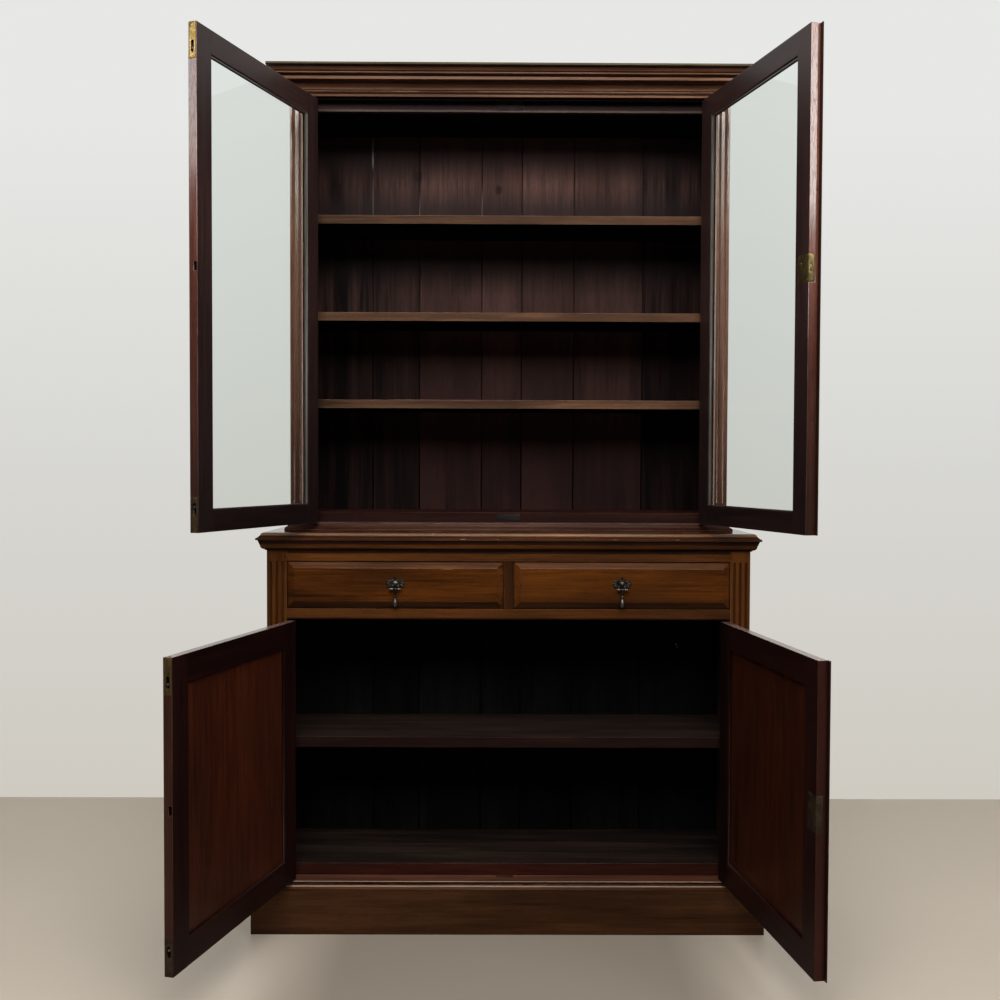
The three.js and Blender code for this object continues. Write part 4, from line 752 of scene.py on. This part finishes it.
woodwork("upperBackBoards", "upper_back", "backBoards", backBoard, 0.0006,
         sawCuts((1, 0, 0), backJoints), dict(enumerate(backLook["tones"])), [("rawBack", outside)])
woodwork("baseBackBoards", "base_back", "baseBack", backBoard, 0.0006,
         sawCuts((1, 0, 0), backJoints), others=[("rawBack", outside)])

dividerHalf = 0.0125
railTop, friezeFoot = drawerFrontBox[0].z - 0.0015, drawerFrontBox[1].z + 0.0015
frameFoot, bedFoot = faceFrameBox[0].z + 0.0036, counterBox[0].z - 0.0076


def faceFrameBoard(at, out):
    if railTop - 0.0001 < at.z < friezeFoot + 0.0001 and abs(at.x) < dividerHalf:
        return "divider", plainAxes["z"]
    return ("frieze" if at.z > drawerFrontBox[1].z else "rail"), plainAxes["x"]


woodwork("faceFrame", "base_face_frame", "baseMahogany", faceFrameBoard,
         cuts=sawCuts((0, 0, 1), [railTop, friezeFoot, bedFoot, frameFoot]),
         boardTones={"frieze": 0.5, "rail": 0.05, "divider": -0.8},
         others=[("shadedMahogany", lambda at, out: at.z > bedFoot or at.z < frameFoot or out.z < -0.9)])


def bevelled(towards):
    # the sloping margin of a drawer front that faces up, down or to a side
    return lambda at, out: -0.99 < out.y < -0.3 and towards(out)


for side in ("left", "right"):
    # the margins are painted lit above and painted shaded below and at the sides
    woodwork(f"drawerFront_{side}", f"drawer_front_{side}", "drawerMahogany", "x",
             boardTones={"board": -0.35 if side == "left" else 0.05}, body=f"drawer_{side}",
             others=[("litBevel", bevelled(lambda out: out.z > 0.15)),
                     ("shadedBevel", bevelled(lambda out: out.z < -0.15)),
                     ("shadedMahogany", bevelled(lambda out: abs(out.x) > 0.5))])
    woodwork(f"drawerBox_{side}", f"drawer_box_{side}", "drawerLining", "x", body=f"drawer_{side}")

# Depths in a door's own axes, from the pin: the bead's two parts lie before and behind the glass
doorDepths = {"pinGap": 0.001, "moulding": 0.0035, "glass": 0.0145, "back": 0.0235}
beadLook = {"onStile": 0.010, "pastStile": 0.003}


def dressDoor(name, stile, boardTones):
    matrix = doorAxes(name)
    inverse = matrix.inverted()
    turn = inverse.to_3x3()
    along = matrix.to_3x3() @ Vector((1, 0, 0))
    corner = [inverse @ v.co for v in nodes[f"{name}_frame"].data.vertices]
    width = max(p.x for p in corner if p.y > doorDepths["back"])  # without the half-round strip
    hung, met = doorDepths["pinGap"] + stile, width - stile
    low, high = min(p.z for p in corner), max(p.z for p in corner)
    uprightAxes, levelAxes = plainAxes["z"] @ turn, plainAxes["x"] @ turn

    def stileOrRail(at, out):
        own = inverse @ at
        if own.x < hung - 0.00001:
            return "hangingStile", uprightAxes
        if own.x > met + 0.00001:
            return "meetingStile", uprightAxes
        return ("topRail" if own.z > (low + high) / 2 else "bottomRail"), levelAxes

    def onEdge(at, out):
        return out.dot(along) > 0.9 and abs((inverse @ at).x - width) < 0.001

    def onBead(inner):
        def covers(at, out):
            own = inverse @ at
            return (stile - beadLook["onStile"] < own.x < stile + beadLook["pastStile"] and out.dot(along) > 0.2
                    and (own.y > doorDepths["glass"]) == inner and own.y > doorDepths["moulding"])
        return covers

    def onAstragal(at, out):
        return (inverse @ at).x > width + 0.0008

    def onTop(at, out):
        return out.z > 0.9 and at.z > high - 0.001

    upper = name.startswith("upper")
    if upper:
        others = [("shadedMahogany", onAstragal), ("doorEdgeMahogany", onEdge), ("puttyAndSheen", onBead(True)),
                  ("rubbedBeadHighlight", onBead(False))]
    else:
        edge = "lowerEdgeMahogany" if name.endswith("left") else "upperStrip"
        others = [("lowerDoorMahogany", onAstragal), (edge, onEdge), ("doorTopHighlight", onTop)]
    joints = [(along.normalized(), matrix @ Vector((at, 0, 0))) for at in (hung, met)]
    woodwork(f"{name}.joinery", f"{name}_frame", "doorMahogany" if upper else "lowerDoorMahogany",
             stileOrRail, 0.0007, joints, boardTones, others, name)
    if not upper:
        woodwork(f"{name}.panel", f"{name}_panel", "panelMahogany",
                 lambda at, out: ("panel", uprightAxes), 0.0006, boardTones=boardTones, body=name)


for name, (right, stile, boardTones) in doorLooks.items():
    dressDoor(name, stile, boardTones)
print("woodwork made")

# Glass stays as it is drawn in the model
for nodeName, node in nodes.items():
    if nodeName.endswith("_glass"):
        node.data.materials.clear()
        node.data.materials.append(glass)


# Brassware: the model's plates, bolts and locks with eased edges, and screws
def addShape(bm, shape, matrix, finish=0):
    part = shape()
    bmesh.ops.transform(part, matrix=matrix, verts=part.verts)
    if matrix.determinant() < 0:
        bmesh.ops.reverse_faces(part, faces=part.faces)
    for face in part.faces:
        face.material_index = finish
    data = bpy.data.meshes.new("shape")
    part.to_mesh(data)
    part.free()
    bm.from_mesh(data)
    bpy.data.meshes.remove(data)


def roundOver(bm, keen=40):
    for edge in bm.edges:
        edge.smooth = len(edge.link_faces) == 2 and edge.calc_face_angle(0) < math.radians(keen)
    for face in bm.faces:
        face.smooth = True


def metalwork(name, nodeName, body, finish, arris=0.0003):
    bm = mergedCopy(nodeName)
    easeArrises(bm, arris, 30)
    bmesh.ops.remove_doubles(bm, verts=bm.verts, dist=2e-5)
    bmesh.ops.triangulate(bm, faces=[face for face in bm.faces if len(face.verts) > 4])
    roundOver(bm)
    finishPiece(name, bm, body, [finish], [nodeName])


screwLook = {"radius": 0.0026, "rim": 0.86, "slot": 0.0008, "rise": 0.0005, "sides": 18}


def screw():
    bm = bmesh.new()
    half, rise = screwLook["slot"] / 2, screwLook["rise"]
    bmesh.ops.create_cone(bm, cap_ends=True, segments=screwLook["sides"], radius1=screwLook["radius"],
                          radius2=screwLook["radius"] * screwLook["rim"], depth=rise)
    sawAlong(bm, [((1, 0, 0), (side * half, 0, 0)) for side in (-1, 1)], 1e-6)
    groove = [face for face in bm.faces if face.normal.z > 0.9 and abs(face.calc_center_median().x) < half]
    sunk = bmesh.ops.extrude_face_region(bm, geom=groove)["geom"]
    bottom = [part for part in sunk if isinstance(part, bmesh.types.BMVert)]
    bmesh.ops.translate(bm, vec=(0, 0, -rise * 0.8), verts=bottom)
    bmesh.ops.delete(bm, geom=groove, context="FACES_ONLY")
    return bm


def facing(place, outward, up=(0, 0, 1), turn=0.0, size=1.0):
    # a matrix that stands a shape's z along outward, at a place
    out = Vector(outward).normalized()
    side = Vector(up).cross(out).normalized()
    level = out.cross(side)
    spin = Matrix.Rotation(turn, 4, "Z") @ Matrix.Scale(size, 4)
    return Matrix.Translation(place) @ Matrix((side, level, out)).transposed().to_4x4() @ spin


def screws(name, body, places, finish):
    luck = random.Random(name)
    bm = bmesh.new()
    for place, outward, size in places:
        up = (0, 0, 1) if abs(Vector(outward).normalized().z) < 0.9 else (0, 1, 0)
        addShape(bm, screw, facing(place, outward, up, luck.uniform(0, math.pi), size))
    finishPiece(name, bm, body, [finish])


plateLook = {"corner": 0.0012, "rim": 0.0003}


def plate(name, low, high, finish):
    # a thin plate on the cabinet, between two corners
    bm = bmesh.new()
    bmesh.ops.create_cube(bm, size=1)
    size = Vector(high) - Vector(low)
    bmesh.ops.scale(bm, vec=size, verts=bm.verts)
    bmesh.ops.translate(bm, vec=(Vector(low) + Vector(high)) / 2, verts=bm.verts)
    thin = min(size)
    corners = [edge for edge in bm.edges if edge.calc_length() < thin * 1.01]
    bevel(bm, corners, plateLook["corner"], 3)
    bevel(bm, [edge for edge in bm.edges if edge.calc_face_angle(0) > 1], min(plateLook["rim"], thin * 0.4))
    roundOver(bm)
    finishPiece(name, bm, "cabinet", [finish])


hingeLook = {"leaf": 0.0155, "half": 0.035, "proud": 0.0003, "screwRows": (-0.027, -0.011, 0.011, 0.027),
             "screwDepths": (0.0085, 0.0125), "screwSize": 0.8}


def dressHinges(name, right):
    matrix = doorAxes(name)
    turn = matrix.to_3x3()
    mirror = -1 if right else 1
    front = upperFront if name.startswith("upper") else baseFront
    wall = swings[f"{name}_swing"]["pos_m"][0] - mirror * 0.001
    leafFace = wall + mirror * hingeLook["proud"]
    leafScrews, fixedScrews = [], []
    for index in (1, 2):
        nodeName = f"{name}_hinge_{index}"
        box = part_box(nodeName)
        middle = (box[0].z + box[1].z) / 2
        metalwork(f"{name}.hinge_{index}", nodeName, name, "bronze")
        plate(f"{name}.fixedLeaf_{index}", (min(wall, leafFace), front - 0.0004, middle - hingeLook["half"]),
              (max(wall, leafFace), front + hingeLook["leaf"], middle + hingeLook["half"]), "bronze")
        for row, rise in enumerate(hingeLook["screwRows"]):
            depth, size = hingeLook["screwDepths"][row % 2], hingeLook["screwSize"]
            leafScrews.append((matrix @ Vector((0.0009, depth, middle + rise)), turn @ Vector((-1, 0, 0)), size))
            fixedScrews.append(((leafFace, front + depth - 0.003, middle + rise), (mirror, 0, 0), size))
    screws(f"{name}.hingeScrews", name, leafScrews, "bronze")
    screws(f"{name}.fixedLeafScrews", "cabinet", fixedScrews, "bronze")


for name, (right, stile, boardTones) in doorLooks.items():
    dressHinges(name, right)

boltFinish = {("upper_door_left", "top"): "brass", ("upper_door_left", "bottom"): "dullBrass",
              ("lower_door_left", "top"): "tarnishedBrass", ("lower_door_left", "bottom"): "darkBrass"}
boltLook = {"arris": 0.0001, "outerScrew": 0.007, "innerScrew": 0.0055, "screwDepth": 0.014, "screwSize": 0.95}
for (name, end), finish in boltFinish.items():
    matrix = doorAxes(name)
    low, high = ownCorners(f"{name}_bolt_plate_{end}", matrix.inverted())
    bolt, arris = f"{name}_bolt_{end}", boltLook["arris"]
    metalwork(f"{name}.boltPlate_{end}", f"{name}_bolt_plate_{end}", name, finish, arris)
    metalwork(f"{name}.bolt_{end}", bolt, bolt, "steel", arris)
    if end == "top":
        heights = (high.z - boltLook["outerScrew"], low.z + boltLook["innerScrew"])
    else:
        heights = (low.z + boltLook["outerScrew"], high.z - boltLook["innerScrew"])
    outward = matrix.to_3x3() @ Vector((1, 0, 0))
    places = [(matrix @ Vector((high.x, boltLook["screwDepth"], z)), outward, boltLook["screwSize"]) for z in heights]
    screws(f"{name}.boltScrews_{end}", name, places, finish)

lockFinish = {"upper_door_right": "lockBrass", "lower_door_right": "darkBrass"}
lockLook = {"near": 0.005, "far": 0.006, "edgeDepth": 0.017}  # the screws' distances from the case's edges
for name, finish in lockFinish.items():
    matrix = doorAxes(name)
    turn = matrix.to_3x3()
    low, high = ownCorners(f"{name}_lock_case", matrix.inverted())
    metalwork(f"{name}.lock", f"{name}_lock_case", name, finish)
    metalwork(f"{name}.lockBolt", f"{name}_lock_bolt", f"{name}_lock_bolt", finish)
    places = [(matrix @ Vector((x, high.y, z)), turn @ Vector((0, 1, 0)), 1.0)
              for x in (low.x + lockLook["near"], high.x - lockLook["far"])
              for z in (low.z + lockLook["near"], high.z - lockLook["near"])]
    places += [(matrix @ Vector((high.x, lockLook["edgeDepth"], z)), turn @ Vector((1, 0, 0)), 0.9)
               for z in (low.z + lockLook["far"], high.z - lockLook["far"])]
    screws(f"{name}.lockScrews", name, places, finish)

# Keeps: behind the upper doors at the head and the foot, and on the cupboard floor
metalwork("upperKeep", "bolt_keep", "cabinet", "keepIron")
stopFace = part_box("bolt_keep")[1].y - 0.0015
screwFace = stopFace - 0.0001
plate("footKeep", (-0.030, stopFace - 0.0003, 0.997), (0.028, stopFace + 0.0005, 1.013), "keepIron")
screws("keepScrews", "cabinet", [((x, screwFace, z), (0, -1, 0), 0.9) for x, z in (
    (-0.025, 1.005), (0.023, 1.005), (-0.026, 2.0135), (0.026, 2.0135))], "keepIron")
plate("cupboardKeep", (-0.028, -0.1215, ledge - 0.0002), (0.013, -0.1095, ledge + 0.0005), "darkBrass")
screws("cupboardKeepScrews", "cabinet", [((x, -0.1155, ledge + 0.0005), (0, 0, 1), 0.9) for x in (-0.0235, 0.0085)],
       "darkBrass")
print("hinges, bolts, locks and keeps made")


# Pear-drop pulls: a petalled rose with a bud, two ears and the drop. Sizes are in mm.
def ball(size, segments=14, rings=9):
    def made():
        bm = bmesh.new()
        bmesh.ops.create_uvsphere(bm, u_segments=segments, v_segments=rings, radius=1)
        bmesh.ops.scale(bm, vec=thousandths(size), verts=bm.verts)
        return bm
    return made


def petal(length, width, curl):
    def made():
        bm = ball((length / 2, width / 2, 1.6), 16, 8)()
        bmesh.ops.translate(bm, vec=thousandths((length / 2, 0, 0)), verts=bm.verts)
        for vert in bm.verts:
            reach = vert.co.x / length * 1000
            vert.co.y *= 0.55 + 0.75 * math.sin(math.pi * min(1, reach * 0.9))
            vein = 0.7 * (1 - min(1, abs(vert.co.y) / (width * 0.2 / 1000))) * (vert.co.z > 0)
            vert.co.z += (curl * reach * reach - vein) / 1000
        return bm
    return made


def turned(profile, steps=20):
    # a turned shape about z, from the radius and height of each ring
    def made():
        bm = bmesh.new()
        verts = [bm.verts.new(thousandths((radius, 0, height))) for radius, height in profile]
        edges = [bm.edges.new(pair) for pair in zip(verts, verts[1:])]
        bmesh.ops.spin(bm, geom=verts + edges, cent=(0, 0, 0), axis=(0, 0, 1), angle=math.tau, steps=steps,
                       use_merge=True)
        bmesh.ops.remove_doubles(bm, verts=bm.verts, dist=1e-6)
        bmesh.ops.recalc_face_normals(bm, faces=bm.faces)
        return bm
    return made


pullLook = {  # mm and degrees; the turned parts as radius and height
    "petals": ((0, 24, 6.6), (20, 21.5, 6), (-20, 22.5, 6), (44, 15, 5.2), (-42, 16.5, 5), (180, 24, 6.6),
               (160, 21.5, 6), (200, 22.5, 6), (136, 15, 5.2), (222, 16.5, 5), (90, 12.5, 6.2)),
    "bud": ((0, 16.2, 1.5), (-2.6, 13, 1.4), (2.6, 13, 1.4)),
    "ear": ((0, 0), (2.8, 0), (3.1, 0.8), (3.1, 4.2), (2.6, 5), (3, 5.8), (3.3, 7.2), (2.6, 8.8), (1.2, 9.8),
            (0, 10)),
    "drop": ((0, -1.8), (3, -2.2), (2.4, -5), (1.9, -9), (1.9, -14), (2.3, -16.8), (3.4, -17.6), (3.5, -18.6),
             (2.7, -19.4), (3.2, -22), (4.4, -25.8), (6, -30.5), (7.1, -34.8), (7.3, -37.8), (6.5, -40.8),
             (4.4, -42.8), (2, -43.7), (0, -44)),
    "barrel": ((0, -5), (2.7, -5), (3.2, -4.4), (3.2, -1.6), (2.8, -1), (3.2, -0.4), (3.2, 4.4), (2.7, 5), (0, 5)),
    "disc": (13.5, 11.5, 3), "boss": (9, 6.6, 7.4), "arm": (2.4, 4.2, 6.2), "pivot": (0, -13, 9.4),
    "pear": -21.5, "lobes": 8, "fullHalf": 22, "drawerHalf": 22, "doorHalf": 16, "doorDepth": 4, "doorDrop": 12.5,
}


def moved(x, y, z):
    return Matrix.Translation(thousandths((x, y, z)))


def turnedBy(degrees, axis):
    return Matrix.Rotation(math.radians(degrees), 4, axis)


def pull(name, body, stand, half):
    # stand: the matrix of the rose's middle, with x to the side, y up and z outward
    look = pullLook
    k = half / look["fullHalf"]
    pivot = look["pivot"]
    bm = bmesh.new()
    wide, tall, thick = look["disc"]
    addShape(bm, ball((wide * k, tall * k, thick)), stand)
    for angle, length, width in look["petals"]:
        addShape(bm, petal(length * k, width * k, 2.2 * k), stand @ moved(0, 0, 1.2) @ turnedBy(angle, "Z"))
    addShape(bm, ball([size * k for size in look["boss"]], 20, 13), stand @ moved(0, 1.6 * k, 1.6), 1)
    for x, y, radius in look["bud"]:
        addShape(bm, ball([radius * k] * 3, 10, 7), stand @ moved(x * k, y * k, 2.2))
    for side in (-1, 1):
        addShape(bm, ball(look["arm"]), stand @ moved(side * 8.8, pivot[1], pivot[2] * 0.52))
        ear = stand @ moved(side * 5.5, pivot[1], pivot[2]) @ turnedBy(90 * side, "Y") @ Matrix.Scale(k, 4, (0, 0, 1))
        addShape(bm, turned(look["ear"], 16), ear, 1)
    roundOver(bm, 60)
    finishPiece(f"{name}.rose", bm, body, ["bronze", "rubbedBronze"], [f"{name}_plate"])
    bm = bmesh.new()
    at = stand @ moved(*pivot)
    back = at.inverted()
    addShape(bm, turned(look["drop"]), at @ turnedBy(-90, "X"))
    pear = look["pear"] / 1000
    for vert in bm.verts:
        own = back @ vert.co
        if own.y < pear:
            lobe = 1 - 0.07 * (0.5 + 0.5 * math.cos(look["lobes"] * math.atan2(own.z, own.x)))
            vert.co = at @ Vector((own.x * lobe, own.y, own.z * lobe))
    addShape(bm, turned(look["barrel"], 18), at @ turnedBy(90, "Y"))
    for face in bm.faces:
        face.material_index = 1 if (back @ face.calc_center_median()).y < pear else 0
    roundOver(bm, 55)
    finishPiece(f"{name}.drop", bm, f"{name}_drop", ["bronze", "rubbedBronze"], [f"{name}_drop"])


outFront = Matrix(((1, 0, 0), (0, 0, -1), (0, 1, 0))).to_4x4()
for side in ("left", "right"):
    low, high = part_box(f"drawer_{side}_pull_plate")
    stand = Matrix.Translation(((low.x + high.x) / 2, baseFront, (low.z + high.z) / 2)) @ outFront
    pull(f"drawer_{side}_pull", f"drawer_{side}", stand, pullLook["drawerHalf"])
for name in lockFinish:
    matrix = doorAxes(name)
    low, high = ownCorners(f"{name}_pull_plate", matrix.inverted())
    middle = Vector(((low.x + high.x) / 2, pullLook["doorDepth"] / 1000, high.z - pullLook["doorDrop"] / 1000))
    pull(f"{name}_pull", name, matrix @ Matrix.Translation(middle) @ outFront, pullLook["doorHalf"])
print("pulls made")

scene.view_settings.view_transform = "Standard"
